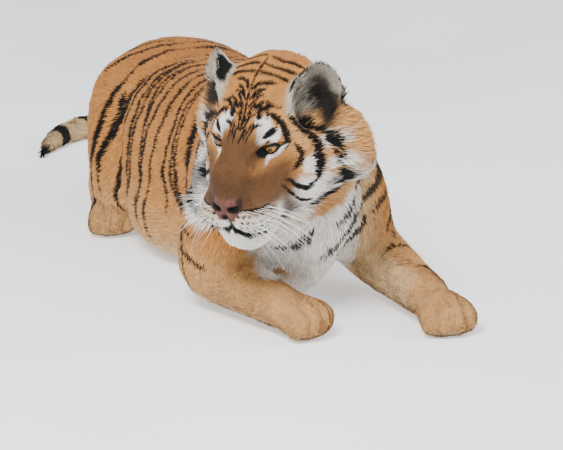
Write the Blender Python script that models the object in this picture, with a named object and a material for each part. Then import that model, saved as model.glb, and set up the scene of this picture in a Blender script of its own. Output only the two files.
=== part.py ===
"""Siberian tiger lying on its chest with its head turned to its right.

A still, life-size animal. The whole body is blended from lofts and rounded masses,
laid on flats at floor level, and then parted into the pieces that a person would name.
The tiger faces -Y, its left side is +X and the floor is z = 0. Units are metres.
"""
import math

import bmesh
import bpy
from mathutils import Matrix, Vector

# ---- driving dimensions ------------------------------------------------------------
PART_GAP = 0.0004            # air between two neighbouring pieces
FLOOR_LEVEL = 0.008          # height of the flat cut that the animal rests on
BODY_VOXEL = 0.0085          # fineness of the blend
BLEND_PASSES = 34            # smoothing passes where limbs run into the trunk
FINE_PASSES = 9              # smoothing passes over the face and the paws
FACE_REACH = 0.20            # radius around the face that keeps its detail
PAW_REACH = 0.10             # radius around each paw that keeps its detail
PAW_FINENESS = 0.80          # fineness of the paws' triangles, against the face's
KEPT_TRIANGLES = 4500        # triangles of the whole blend, before it is parted
RING_SIDES = 20              # sides of each loft
STEPS_PER_STATION = 4        # rings between two stations of a loft
CAP_STEPS = 3                # rings that round off each end of a loft

# the head: its own frame has x to the tiger's right, y forward and z up from between the eyes
HEAD_SCALE = 1.10
HEAD_PLACE = (-0.172, -0.320, 0.442)
HEAD_TURN = 50.0             # degrees to the tiger's right
HEAD_NOD = 25.0              # degrees down
HEAD_LEAN = 0.0              # degrees, left side raised
EYE_HALF_SPACING = 0.054
EYE_BALL_RADIUS = 0.0155
EYE_FORWARD = 0.011
EYE_OUTWARD = 20.0           # degrees that each eye looks away from straight ahead
EYE_OPENING = (0.0165, 0.018, 0.0115)   # half sizes of the hollow between the lids

# the ears, as cupped shells in head units
EAR_HEIGHT = 0.102
EAR_RADIUS = 0.048
EAR_WALL = 0.011
EAR_BASE = (0.080, -0.090, 0.010)
EAR_SPREAD = 28.0            # degrees away from upright
EAR_BACK = 8.0               # degrees tipped backwards
EAR_TURN = 42.0              # degrees that the opening looks outwards
EAR_COLUMNS = 10
EAR_ROWS = 7

# trunk stations from chest to tail base: y, z of the middle, half width, half height, keel
TRUNK = (
    (-0.190, 0.250, 0.105, 0.140, 0.45),
    (-0.120, 0.238, 0.148, 0.205, 0.45),
    (0.000, 0.236, 0.170, 0.240, 0.40),
    (0.120, 0.236, 0.188, 0.250, 0.25),
    (0.300, 0.228, 0.212, 0.242, 0.05),
    (0.480, 0.218, 0.226, 0.232, 0.00),
    (0.660, 0.210, 0.222, 0.224, 0.00),
    (0.820, 0.202, 0.198, 0.214, 0.00),
    (0.940, 0.186, 0.155, 0.186, 0.05),
    (1.020, 0.170, 0.095, 0.132, 0.10),
)

# neck stations from the chest to the back of the skull: x, y, z, half width, half height
NECK = (
    (0.000, 0.080, 0.305, 0.165, 0.160),
    (-0.010, -0.060, 0.335, 0.168, 0.165),
    (-0.052, -0.165, 0.375, 0.160, 0.160),
    (-0.105, -0.235, 0.405, 0.140, 0.148),
)

# tail stations from the rump to the tip: x, y, z, half width, half height
TAIL = (
    (0.000, 0.985, 0.185, 0.062, 0.060),
    (0.030, 1.080, 0.130, 0.053, 0.053),
    (0.095, 1.180, 0.064, 0.046, 0.046),
    (0.160, 1.295, 0.040, 0.042, 0.042),
    (0.170, 1.420, 0.038, 0.041, 0.040),
    (0.105, 1.520, 0.037, 0.040, 0.039),
    (-0.010, 1.535, 0.036, 0.039, 0.038),
    (-0.110, 1.470, 0.034, 0.036, 0.036),
    (-0.172, 1.385, 0.026, 0.026, 0.027),
    (-0.198, 1.340, 0.016, 0.010, 0.012),
)

# front legs, per side: shoulder, elbow, wrist and toe, with x measured outwards
FRONT_LEGS = {
    "right": dict(side=-1, shoulder=(0.142, -0.085, 0.265), elbow=(0.186, -0.050, 0.100),
                  wrist=(0.096, -0.270, 0.064), toe=(0.046, -0.352, 0.050)),
    "left": dict(side=1, shoulder=(0.122, -0.085, 0.250), elbow=(0.192, -0.010, 0.098),
                 wrist=(0.226, -0.300, 0.064), toe=(0.232, -0.425, 0.050)),
}

# hind legs, per side: hip, knee, hock and toe, with x measured outwards
HIND_LEGS = {
    "right": dict(side=-1, hip=(0.100, 0.815, 0.255), knee=(0.204, 0.560, 0.132),
                  hock=(0.172, 0.840, 0.058), toe=(0.232, 0.560, 0.046)),
    "left": dict(side=1, hip=(0.100, 0.815, 0.255), knee=(0.204, 0.560, 0.132),
                 hock=(0.172, 0.840, 0.058), toe=(0.232, 0.560, 0.046)),
}

# ---- colours -----------------------------------------------------------------------
COAT_ORANGE = (0.58, 0.30, 0.11)
COAT_PALE = (0.74, 0.66, 0.55)
COAT_DARK = (0.03, 0.025, 0.025)
NOSE_PINK = (0.48, 0.25, 0.22)
EYE_AMBER = (0.55, 0.29, 0.06)


# ---- small helpers -----------------------------------------------------------------
def clear_scene():
    for obj in list(bpy.data.objects):
        bpy.data.objects.remove(obj, do_unlink=True)


def coat_material(name, colour, roughness=0.85):
    material = bpy.data.materials.new(name)
    material.use_nodes = True
    shader = material.node_tree.nodes["Principled BSDF"]
    shader.inputs["Base Color"].default_value = (*colour, 1.0)
    shader.inputs["Roughness"].default_value = roughness
    shader.inputs["Metallic"].default_value = 0.0
    return material


def add_object(name, mesh, material=None):
    obj = bpy.data.objects.new(name, mesh)
    bpy.context.scene.collection.objects.link(obj)
    if material is not None:
        mesh.materials.clear()
        mesh.materials.append(material)
    return obj


def object_from_bmesh(name, bm, material=None):
    mesh = bpy.data.meshes.new(name)
    bm.to_mesh(mesh)
    bm.free()
    return add_object(name, mesh, material)


def apply_modifiers(obj):
    """Replace an object's mesh by the mesh that its modifiers make."""
    graph = bpy.context.evaluated_depsgraph_get()
    mesh = bpy.data.meshes.new_from_object(obj.evaluated_get(graph))
    obj.modifiers.clear()
    obj.data = mesh


def boolean(obj, cutter, operation):
    modifier = obj.modifiers.new("cut", "BOOLEAN")
    modifier.operation = operation
    modifier.solver = "EXACT"
    modifier.object = cutter
    apply_modifiers(obj)


def remove(obj):
    bpy.data.objects.remove(obj, do_unlink=True)


def blend(a, b, t):
    return tuple(p + (q - p) * t for p, q in zip(a, b))


def spline(stations):
    """Rows of numbers on a smooth curve through the stations (Catmull-Rom)."""
    rows = []
    last = len(stations) - 1
    for i in range(last):
        before, start = stations[max(i - 1, 0)], stations[i]
        end, after = stations[i + 1], stations[min(i + 2, last)]
        for step in range(STEPS_PER_STATION):
            t = step / STEPS_PER_STATION
            rows.append(tuple(
                0.5 * (2 * p1 + (p2 - p0) * t + (2 * p0 - 5 * p1 + 4 * p2 - p3) * t * t
                       + (3 * p1 - p0 - 3 * p2 + p3) * t ** 3)
                for p0, p1, p2, p3 in zip(before, start, end, after)))
    rows.append(tuple(stations[last]))
    return rows


# ---- rounded masses, all added to one bmesh ------------------------------------------
def add_loft(bm, stations, frame=Matrix()):
    """A closed loft through stations of x, y, z, half width, half height and keel.

    The keel narrows the lower half of a ring, as a chest narrows to its breastbone.
    """
    rows = spline(stations)
    centres = [Vector(row[:3]) for row in rows]
    rings = []
    for i, row in enumerate(rows):
        ahead = (centres[min(i + 1, len(rows) - 1)] - centres[max(i - 1, 0)]).normalized()
        side = ahead.cross(Vector((0, 0, 1)))
        if side.length < 0.05:
            side = Vector((1, 0, 0))
        side.normalize()
        up = side.cross(ahead).normalized()
        keel = row[5] if len(row) > 5 else 0.0
        rings.append((centres[i], ahead, side, up, row[3], row[4], keel))
    loops = []

    def add_ring(ring, shift, scale):
        centre, ahead, side, up, width, height, keel = ring
        loop = []
        for k in range(RING_SIDES):
            angle = 2 * math.pi * k / RING_SIDES
            narrow = 1.0 - keel * max(0.0, -math.sin(angle))
            point = (centre + ahead * shift + side * (width * scale * narrow * math.cos(angle))
                     + up * (height * scale * math.sin(angle)))
            loop.append(bm.verts.new(frame @ point))
        loops.append(loop)

    ends = ((-1, rings[0], range(CAP_STEPS, 0, -1)),
            (1, rings[-1], range(1, CAP_STEPS + 1)))
    for sign, ring, order in ends:
        if sign == 1:
            for middle in rings:
                add_ring(middle, 0.0, 1.0)
        depth = 0.8 * min(ring[4], ring[5])
        for step in order:
            angle = 0.5 * math.pi * step / (CAP_STEPS + 0.4)
            add_ring(ring, sign * depth * math.sin(angle), math.cos(angle))
    for first, second in zip(loops, loops[1:]):
        for k in range(RING_SIDES):
            n = (k + 1) % RING_SIDES
            bm.faces.new((first[k], first[n], second[n], second[k]))
    bm.faces.new(list(reversed(loops[0])))
    bm.faces.new(loops[-1])


def add_mass(bm, centre, radii, frame=Matrix(), turn=(0.0, 0.0, 0.0)):
    """An ellipsoid with its half sizes and its turn in degrees about x, y and z."""
    rotation = Matrix.Rotation(math.radians(turn[2]), 4, "Z")
    rotation = rotation @ Matrix.Rotation(math.radians(turn[1]), 4, "Y")
    rotation = rotation @ Matrix.Rotation(math.radians(turn[0]), 4, "X")
    matrix = frame @ Matrix.Translation(centre) @ rotation @ Matrix.Diagonal((*radii, 1.0))
    bmesh.ops.create_uvsphere(bm, u_segments=20, v_segments=12, radius=1.0, matrix=matrix)


def head_frame():
    turn = Matrix.Rotation(math.radians(180.0 - HEAD_TURN), 4, "Z")
    nod = Matrix.Rotation(math.radians(-HEAD_NOD), 4, "X")
    lean = Matrix.Rotation(math.radians(HEAD_LEAN), 4, "Y")
    return Matrix.Translation(HEAD_PLACE) @ turn @ nod @ lean @ Matrix.Scale(HEAD_SCALE, 4)


def sided(point, side):
    return (point[0] * side, point[1], point[2])


def add_trunk(bm):
    add_loft(bm, [(0.0, y, z, width, height, keel) for y, z, width, height, keel in TRUNK])
    for side in (-1, 1):
        add_mass(bm, (0.080 * side, 0.085, 0.380), (0.062, 0.125, 0.100), turn=(-18, 0, 0))
        add_mass(bm, (0.120 * side, 0.400, 0.120), (0.115, 0.260, 0.115))


def add_neck(bm):
    add_loft(bm, NECK)
    add_mass(bm, (-0.045, -0.205, 0.300), (0.120, 0.090, 0.135), turn=(20, 0, 0))
    add_mass(bm, (-0.085, -0.235, 0.330), (0.105, 0.085, 0.110))


def add_head(bm, frame):
    """Skull, muzzle, cheeks and ruff, out to the tips of the coat."""
    add_mass(bm, (0.0, -0.102, 0.016), (0.106, 0.112, 0.090), frame, (-6, 0, 0))
    add_mass(bm, (0.0, -0.036, 0.014), (0.076, 0.070, 0.048), frame, (-32, 0, 0))
    add_loft(bm, ((0.0, -0.030, -0.034, 0.102, 0.076), (0.0, 0.030, -0.060, 0.084, 0.068),
                  (0.0, 0.074, -0.080, 0.064, 0.054)), frame)
    add_loft(bm, ((0.0, -0.030, 0.020, 0.066, 0.036), (0.0, 0.030, -0.006, 0.056, 0.034),
                  (0.0, 0.090, -0.048, 0.047, 0.030)), frame)
    add_mass(bm, (0.0, 0.107, -0.068), (0.038, 0.032, 0.031), frame)
    add_mass(bm, (0.0, 0.103, -0.103), (0.034, 0.032, 0.030), frame)
    add_mass(bm, (0.0, 0.087, -0.153), (0.058, 0.047, 0.040), frame)
    add_loft(bm, ((0.0, 0.060, -0.134, 0.066, 0.042), (0.0, 0.000, -0.116, 0.086, 0.056),
                  (0.0, -0.060, -0.095, 0.108, 0.076)), frame)
    for side in (-1, 1):
        add_mass(bm, (0.038 * side, 0.081, -0.100), (0.043, 0.054, 0.037), frame, (0, 0, -12 * side))
        add_mass(bm, (0.072 * side, -0.055, -0.036), (0.058, 0.078, 0.056), frame)
        add_mass(bm, (0.048 * side, -0.022, 0.028), (0.040, 0.036, 0.022), frame, (0, 20 * side, 0))
        add_mass(bm, (0.084 * side, -0.070, -0.080), (0.066, 0.080, 0.074), frame)
        add_mass(bm, (0.116 * side, -0.104, -0.066), (0.078, 0.062, 0.098), frame, (0, -6 * side, 0))
        add_mass(bm, (0.082 * side, -0.112, 0.006), (0.044, 0.048, 0.036), frame)
        add_mass(bm, (0.074 * side, -0.022, -0.096), (0.054, 0.070, 0.056), frame)


def ear_frame(side, head):
    """The ear's own frame: z along the ear, y out of its opening."""
    spread = Matrix.Rotation(math.radians(EAR_SPREAD * side), 4, "Y")
    back = Matrix.Rotation(math.radians(EAR_BACK), 4, "X")
    turn = Matrix.Rotation(math.radians(-EAR_TURN * side), 4, "Z")
    return head @ Matrix.Translation(sided(EAR_BASE, side)) @ back @ spread @ turn


def build_ear(name, side, head, material):
    """A cupped shell, wrapped almost shut at its base and open towards its round tip."""
    bm = bmesh.new()
    frame = ear_frame(side, head)
    layers = []
    for offset in (0.5 * EAR_WALL, -0.5 * EAR_WALL):
        layer = []
        for row in range(EAR_ROWS + 1):
            v = row / EAR_ROWS
            radius = EAR_RADIUS * (0.86 + 0.50 * v - 0.55 * v ** 3)
            wrap = math.radians(118 - 50 * v)
            line = []
            for column in range(EAR_COLUMNS + 1):
                u = 2 * column / EAR_COLUMNS - 1
                angle = u * wrap
                reach = radius + offset * (1.0 - 0.35 * v)
                height = EAR_HEIGHT * v * (1 - 0.20 * u * u * v * v)
                point = Vector((reach * math.sin(angle), radius * 0.45 - reach * math.cos(angle), height))
                line.append(bm.verts.new(frame @ point))
            layer.append(line)
        layers.append(layer)
    outer, inner = layers
    for row in range(EAR_ROWS):
        for column in range(EAR_COLUMNS):
            for layer in layers:
                bm.faces.new((layer[row][column], layer[row][column + 1],
                              layer[row + 1][column + 1], layer[row + 1][column]))
        for column in (0, EAR_COLUMNS):
            bm.faces.new((outer[row][column], outer[row + 1][column],
                          inner[row + 1][column], inner[row][column]))
    for row in (0, EAR_ROWS):
        for column in range(EAR_COLUMNS):
            bm.faces.new((outer[row][column], outer[row][column + 1],
                          inner[row][column + 1], inner[row][column]))
    bmesh.ops.recalc_face_normals(bm, faces=bm.faces)
    return object_from_bmesh(name, bm, material)


def add_front_leg(bm, side, shoulder, elbow, wrist, toe):
    shoulder, elbow, wrist, toe = (sided(p, side) for p in (shoulder, elbow, wrist, toe))
    blade = (0.098 * side, 0.070, 0.340)
    add_loft(bm, ((*blade, 0.056, 0.085), (*shoulder, 0.082, 0.100), (*elbow, 0.066, 0.080)))
    add_loft(bm, ((*elbow, 0.066, 0.072), (*blend(elbow, wrist, 0.35), 0.065, 0.070),
                  (*blend(elbow, wrist, 0.75), 0.055, 0.060), (*wrist, 0.056, 0.056)))
    add_paw(bm, wrist, toe, 0.068, 0.047)


def add_hind_leg(bm, side, hip, knee, hock, toe):
    hip, knee, hock, toe = (sided(p, side) for p in (hip, knee, hock, toe))
    add_loft(bm, ((*hip, 0.100, 0.130), (*blend(hip, knee, 0.5), 0.088, 0.150), (*knee, 0.058, 0.086)))
    add_loft(bm, ((*knee, 0.056, 0.080), (*blend(knee, hock, 0.5), 0.058, 0.064), (*hock, 0.040, 0.056)))
    add_loft(bm, ((*hock, 0.038, 0.044), (*blend(hock, toe, 0.55), 0.040, 0.040),
                  (*blend(hock, toe, 0.85), 0.044, 0.040)))
    add_paw(bm, blend(hock, toe, 0.62), toe, 0.058, 0.040)


def add_paw(bm, heel, toe, half_width, half_height):
    """A broad pad with four toes in a shallow arc at its front."""
    heel, toe = Vector(heel), Vector(toe)
    forward = Vector((toe.x - heel.x, toe.y - heel.y, 0.0)).normalized()
    across = forward.cross(Vector((0, 0, 1)))
    centre = heel.lerp(toe, 0.62)
    angle = math.degrees(math.atan2(forward.x, -forward.y))
    add_mass(bm, centre, (half_width * 0.92, 0.078, half_height), turn=(0, 0, angle))
    for k in range(4):
        spread = (k - 1.5) / 1.5
        place = toe + across * (spread * half_width * 0.68) - forward * (0.012 * spread * spread)
        place.z = toe.z - 0.006
        toe_size = (half_width * 0.31, 0.036, half_height * 0.86)
        add_mass(bm, place, toe_size, turn=(0, 0, angle - 10 * spread))


# ---- the whole body ----------------------------------------------------------------
def detail_places():
    """Centres and reaches of the face and the paws, which keep their detail."""
    places = [(head_frame() @ Vector((0.0, 0.030, -0.050)), FACE_REACH, 1.0)]
    for leg in (*FRONT_LEGS.values(), *HIND_LEGS.values()):
        places.append((Vector(sided(leg["toe"], leg["side"])), PAW_REACH, PAW_FINENESS))
    return places


def detail_weights(point, places):
    """How far a point keeps its shape and its fineness: 1 at a place, falling to 0 around it."""
    shape = 0.0
    fineness = 0.0
    for centre, reach, share in places:
        near = min(1.0, max(0.0, 2.0 - 2.0 * (point - centre).length / reach))
        shape = max(shape, near)
        fineness = max(fineness, near * share)
    return shape, fineness


def add_group(obj, name, weights):
    group = obj.vertex_groups.new(name=name)
    for index, weight in enumerate(weights):
        group.add([index], weight, "REPLACE")
    return group


def build_body():
    bm = bmesh.new()
    frame = head_frame()
    add_trunk(bm)
    add_neck(bm)
    add_head(bm, frame)
    add_loft(bm, TAIL)
    for leg in FRONT_LEGS.values():
        add_front_leg(bm, **leg)
    for leg in HIND_LEGS.values():
        add_hind_leg(bm, **leg)
    bmesh.ops.recalc_face_normals(bm, faces=bm.faces)
    body = object_from_bmesh("body_blend", bm)
    remesh = body.modifiers.new("blend", "REMESH")
    remesh.mode = "VOXEL"
    remesh.voxel_size = BODY_VOXEL
    apply_modifiers(body)
    places = detail_places()
    weights = [detail_weights(vertex.co, places) for vertex in body.data.vertices]
    add_group(body, "plain", [1.0 - shape for shape, fineness in weights])
    add_group(body, "coarse", [1.0 - fineness for shape, fineness in weights])
    fine = body.modifiers.new("fine", "SMOOTH")
    fine.factor = 0.5
    fine.iterations = FINE_PASSES
    wide = body.modifiers.new("wide", "SMOOTH")
    wide.factor = 0.5
    wide.iterations = BLEND_PASSES
    wide.vertex_group = "plain"
    apply_modifiers(body)
    return body


def thin_out(body):
    """Fewer triangles, with most of them left on the face and the paws."""
    count = sum(len(face.vertices) - 2 for face in body.data.polygons)
    modifier = body.modifiers.new("thin", "DECIMATE")
    modifier.ratio = KEPT_TRIANGLES / count
    modifier.use_collapse_triangulate = True
    modifier.vertex_group = "coarse"
    modifier.vertex_group_factor = 0.12
    apply_modifiers(body)


# ---- parting -----------------------------------------------------------------------
def box(low, high, frame=Matrix(), grow=0.0):
    """A box between two corners of a frame, made larger on every side by a distance."""
    bm = bmesh.new()
    bmesh.ops.create_cube(bm, size=1.0)
    scale = frame.to_scale().x
    low = Vector(low) - Vector((grow, grow, grow)) / scale
    high = Vector(high) + Vector((grow, grow, grow)) / scale
    size = high - low
    for vertex in bm.verts:
        vertex.co = frame @ Vector(low[k] + (vertex.co[k] + 0.5) * size[k] for k in range(3))
    return object_from_bmesh("cutter", bm)


def part_off(body, name, material, low, high, frame=Matrix()):
    """Part the piece inside a box from the body and leave a thin gap round it."""
    piece = add_object(name, body.data.copy())
    cutter = box(low, high, frame)
    boolean(piece, cutter, "INTERSECT")
    remove(cutter)
    cutter = box(low, high, frame, PART_GAP)
    boolean(body, cutter, "DIFFERENCE")
    remove(cutter)
    piece.data.materials.clear()
    piece.data.materials.append(material)
    return piece


def cut_flat(body):
    """Cut the animal off level where it rests."""
    cutter = box((-3.0, -3.0, -1.0), (3.0, 3.0, FLOOR_LEVEL))
    boolean(body, cutter, "DIFFERENCE")
    remove(cutter)


# ---- eyes --------------------------------------------------------------------------
def eye_frame(side, head):
    """The eye's own frame: y out of the pupil."""
    place = Matrix.Translation((EYE_HALF_SPACING * side, EYE_FORWARD, 0.0))
    return head @ place @ Matrix.Rotation(math.radians(-EYE_OUTWARD * side), 4, "Z")


def eye_ball(name, side, head, material=None, grow=0.0):
    bm = bmesh.new()
    radius = EYE_BALL_RADIUS + grow / HEAD_SCALE
    matrix = eye_frame(side, head) @ Matrix.Rotation(math.radians(90), 4, "X")
    bmesh.ops.create_uvsphere(bm, u_segments=16, v_segments=8, radius=radius, matrix=matrix)
    return object_from_bmesh(name, bm, material)


def open_socket(body, side, head):
    """A round socket for the ball, and an almond hollow in front of it between the lids."""
    socket = eye_ball("cutter", side, head, grow=PART_GAP)
    bm = bmesh.new()
    frame = eye_frame(side, head) @ Matrix.Translation((0.0, EYE_BALL_RADIUS, 0.0))
    matrix = frame @ Matrix.Diagonal((*EYE_OPENING, 1.0))
    bmesh.ops.create_uvsphere(bm, u_segments=14, v_segments=9, radius=1.0, matrix=matrix)
    hollow = object_from_bmesh("cutter", bm)
    boolean(socket, hollow, "UNION")
    boolean(body, socket, "DIFFERENCE")
    remove(hollow)
    remove(socket)


# ---- the cuts between the pieces -----------------------------------------------------
NOSE_BOX = ((-0.031, 0.112, -0.088), (0.031, 0.200, -0.040))
JAW_BOX = ((-0.0735, -0.0045, -0.1935), (0.0735, 0.2005, -0.1263))
HEAD_BOX = ((-0.250, -0.175, -0.208), (0.250, 0.250, 0.250))
NECK_MIDDLE = (0.0, -0.070, 0.350)
NECK_TILT = 49.0             # degrees that the cut under the neck leans back
NECK_BOX = ((-0.400, -0.500, 0.000), (0.400, 0.500, 0.500))
CHEST_BACK = 0.270           # y of the cut between chest and belly
BELLY_BACK = 0.640           # y of the cut between belly and rump
TAIL_START = 1.062           # y of the cut between rump and tail
TAIL_BEND = 1.240            # y of the cut between the base and the middle of the tail
TAIL_MIDDLE_X = 0.050        # x of the cut between the middle and the tip of the tail
ARM_BOX = ((0.122, -0.350, -0.100), (0.500, 0.085, 0.335))
FOREARM_START = 0.055        # distance of the elbow cut from the elbow
FOREARM_BOX = ((-0.080, FOREARM_START, -0.100), (0.080, 0.400, 0.122))
PAW_BOX = ((-0.082, 0.000, -0.100), (0.082, 0.300, 0.122))
THIGH_BOX = ((0.135, 0.470, 0.098), (0.500, 0.985, 0.315))
FOOT_BOX = ((0.135, 0.470, -0.100), (0.500, 0.690, 0.098))
SHANK_BOX = ((0.135, 0.690, -0.100), (0.500, 0.985, 0.098))


def limb_frame(start, end):
    """A level frame at the start of a limb, with y towards its end."""
    start, end = Vector(start), Vector(end)
    angle = math.atan2(-(end.x - start.x), end.y - start.y)
    return Matrix.Translation((start.x, start.y, 0.0)) @ Matrix.Rotation(angle, 4, "Z")


def mirrored(corners, side):
    """A box's corners on the left side, or mirrored to the right side."""
    (x0, y0, z0), (x1, y1, z1) = corners
    if side > 0:
        return corners
    return (-x1, y0, z0), (-x0, y1, z1)


def part_front_leg(body, material, label, side, shoulder, elbow, wrist, toe):
    elbow, wrist, toe = (sided(p, side) for p in (elbow, wrist, toe))
    part_off(body, "front_paw_" + label, material, *PAW_BOX, limb_frame(wrist, toe))
    part_off(body, "forearm_" + label, material, *FOREARM_BOX, limb_frame(elbow, wrist))
    part_off(body, "upper_arm_" + label, material, *mirrored(ARM_BOX, side))


def part_hind_leg(body, material, label, side):
    part_off(body, "thigh_" + label, material, *mirrored(THIGH_BOX, side))
    part_off(body, "hind_foot_" + label, material, *mirrored(FOOT_BOX, side))
    part_off(body, "shank_" + label, material, *mirrored(SHANK_BOX, side))


def part_tail(body, material):
    far = 3.0
    part_off(body, "tail_base", material, (-far, TAIL_START, -far), (far, TAIL_BEND, far))
    part_off(body, "tail_middle", material, (TAIL_MIDDLE_X, TAIL_BEND, -far), (far, far, far))
    part_off(body, "tail_tip", material, (-far, TAIL_BEND, -far), (TAIL_MIDDLE_X, far, far))


def part_trunk(body, material):
    far = 3.0
    part_off(body, "rump", material, (-far, BELLY_BACK, -far), (far, far, far))
    part_off(body, "belly", material, (-far, CHEST_BACK, -far), (far, BELLY_BACK, far))
    body.name = "chest"
    body.data.materials.clear()
    body.data.materials.append(material)


def add_ear(body, label, side, head, material):
    """An ear cut to the head's surface, a thin gap away from it."""
    ear = build_ear("ear_" + label, side, head, material)
    grown = add_object("cutter", body.data.copy())
    for vertex in grown.data.vertices:
        vertex.co += vertex.normal * PART_GAP
    boolean(ear, grown, "DIFFERENCE")
    remove(grown)


def stand_on_origin():
    """Move everything so that the middle of the animal's box stands on the origin."""
    points = [obj.matrix_world @ vertex.co for obj in bpy.data.objects for vertex in obj.data.vertices]
    low = [min(p[k] for p in points) for k in range(3)]
    high = [max(p[k] for p in points) for k in range(3)]
    shift = Vector((-0.5 * (low[0] + high[0]), -0.5 * (low[1] + high[1]), -low[2]))
    for obj in bpy.data.objects:
        obj.data.transform(Matrix.Translation(shift))


def main():
    clear_scene()
    orange = coat_material("coat_orange", COAT_ORANGE)
    pale = coat_material("coat_pale", COAT_PALE)
    banded = coat_material("coat_banded", COAT_DARK)
    leather = coat_material("nose_leather", NOSE_PINK, 0.45)
    amber = coat_material("eye_amber", EYE_AMBER, 0.08)
    head = head_frame()
    body = build_body()
    thin_out(body)
    cut_flat(body)
    for side, label in ((1, "right"), (-1, "left")):
        open_socket(body, side, head)
        eye_ball("eye_" + label, side, head, amber)
        add_ear(body, label, side, head, banded)
    part_off(body, "nose", leather, *NOSE_BOX, head)
    part_off(body, "lower_jaw", pale, *JAW_BOX, head)
    part_off(body, "head", orange, *HEAD_BOX, head)
    for label, leg in FRONT_LEGS.items():
        part_front_leg(body, orange, label, **leg)
    for label, leg in HIND_LEGS.items():
        part_hind_leg(body, orange, label, leg["side"])
    part_tail(body, banded)
    neck = Matrix.Translation(NECK_MIDDLE) @ Matrix.Rotation(math.radians(NECK_TILT), 4, "X")
    part_off(body, "neck", orange, *NECK_BOX, neck)
    part_trunk(body, orange)
    stand_on_origin()


main()
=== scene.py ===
"""Looks of a life-size Siberian tiger lying on its chest.

One skin replaces the solids of flesh. A coat of solid mesh tufts grows on it, and the skin
and the coat take their colours from the same markings. The eyes and whiskers are separate.
Everything is in metres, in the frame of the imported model.
"""
import itertools
import math

import bmesh
import bpy
import numpy as np
from mathutils import Matrix, Vector
from mathutils.bvhtree import BVHTree
from mathutils.kdtree import KDTree


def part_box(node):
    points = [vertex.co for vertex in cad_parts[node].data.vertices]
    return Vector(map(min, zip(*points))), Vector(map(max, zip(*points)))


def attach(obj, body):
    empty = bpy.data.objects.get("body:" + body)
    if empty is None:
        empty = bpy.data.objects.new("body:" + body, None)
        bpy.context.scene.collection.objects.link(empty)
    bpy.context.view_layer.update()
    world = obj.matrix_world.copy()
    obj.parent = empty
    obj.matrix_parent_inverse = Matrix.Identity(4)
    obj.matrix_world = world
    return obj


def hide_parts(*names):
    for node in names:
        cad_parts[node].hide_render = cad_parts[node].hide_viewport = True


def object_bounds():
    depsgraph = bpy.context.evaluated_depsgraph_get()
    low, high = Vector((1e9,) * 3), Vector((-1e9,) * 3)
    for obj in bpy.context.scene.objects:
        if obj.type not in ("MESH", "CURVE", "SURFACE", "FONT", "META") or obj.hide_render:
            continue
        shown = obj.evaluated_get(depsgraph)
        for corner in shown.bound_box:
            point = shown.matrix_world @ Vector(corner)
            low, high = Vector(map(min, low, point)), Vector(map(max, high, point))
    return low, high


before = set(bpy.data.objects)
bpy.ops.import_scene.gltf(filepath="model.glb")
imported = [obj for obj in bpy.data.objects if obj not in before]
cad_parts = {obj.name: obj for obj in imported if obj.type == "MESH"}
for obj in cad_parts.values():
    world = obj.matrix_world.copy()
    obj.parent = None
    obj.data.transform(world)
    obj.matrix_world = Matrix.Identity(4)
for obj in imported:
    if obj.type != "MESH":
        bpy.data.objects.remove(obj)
cad_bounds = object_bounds()
rng = np.random.default_rng(7)

# ---- where the animal's parts are ----------------------------------------------------
FLOOR_CUT = 0.008            # height that the solids were cut off at, before they stood on the floor
CHEST_LENGTH = 0.270         # from the shoulder's middle back to the cut before the belly
HEAD_SCALE = 1.10            # head units, which all places on the head are in, are this many metres
HEAD_TURN = 50.0             # degrees to the tiger's right
HEAD_NOD = 25.0
EYE_FORWARD = 0.011          # the eyeballs' middles ahead of the head's origin, in head units
EYE_OUTWARD = 20.0           # degrees
EYE_RADIUS = 0.0155 * HEAD_SCALE

EAR_SPREAD = 28.0            # degrees away from upright
EAR_BACK = 8.0               # degrees tipped back
EAR_TURN = 42.0              # degrees that the cup looks outwards
EAR_RADIUS = 0.048
EAR_HEIGHT = 0.102

EYES = ("eye_left", "eye_right")
FLESH = [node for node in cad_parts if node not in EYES]


def centre(node):
    low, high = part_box(node)
    return (low + high) / 2


MIDDLE_X = (centre("hind_foot_left").x + centre("hind_foot_right").x) / 2
FRONT_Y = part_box("belly")[0].y - CHEST_LENGTH
BODY = Vector((MIDDLE_X, FRONT_Y, -FLOOR_CUT))


def turn_by(degrees, axis):
    return Matrix.Rotation(math.radians(degrees), 4, axis)


def head_matrix():
    """Head frame: x to the tiger's right, y forward, z up, from between the eyes."""
    rotation = turn_by(180.0 - HEAD_TURN, "Z") @ turn_by(-HEAD_NOD, "X") @ Matrix.Scale(HEAD_SCALE, 4)
    middle = (centre("eye_left") + centre("eye_right")) / 2
    place = middle - rotation @ Vector((0.0, EYE_FORWARD, 0.0))
    return Matrix.Translation(place) @ rotation


HEAD = head_matrix()


# ---- arrays of points ----------------------------------------------------------------
def transformed(points, matrix):
    m = np.array(matrix)
    return points @ m[:3, :3].T + m[:3, 3]


def in_head(points):
    return transformed(points, HEAD.inverted())


def norm(vectors):
    return np.linalg.norm(vectors, axis=-1)


def unit(vectors):
    return vectors / np.maximum(norm(vectors)[..., None], 1e-9)


def step(low, high, value):
    """0 below low, 1 above high and smooth between."""
    t = np.clip((value - low) / (high - low), 0.0, 1.0)
    return t * t * (3.0 - 2.0 * t)


def mix(a, b, share):
    """From a to b; both end in an axis of a colour or a list of values, with one share for each."""
    return a + (b - a) * np.asarray(share)[..., None]


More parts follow.
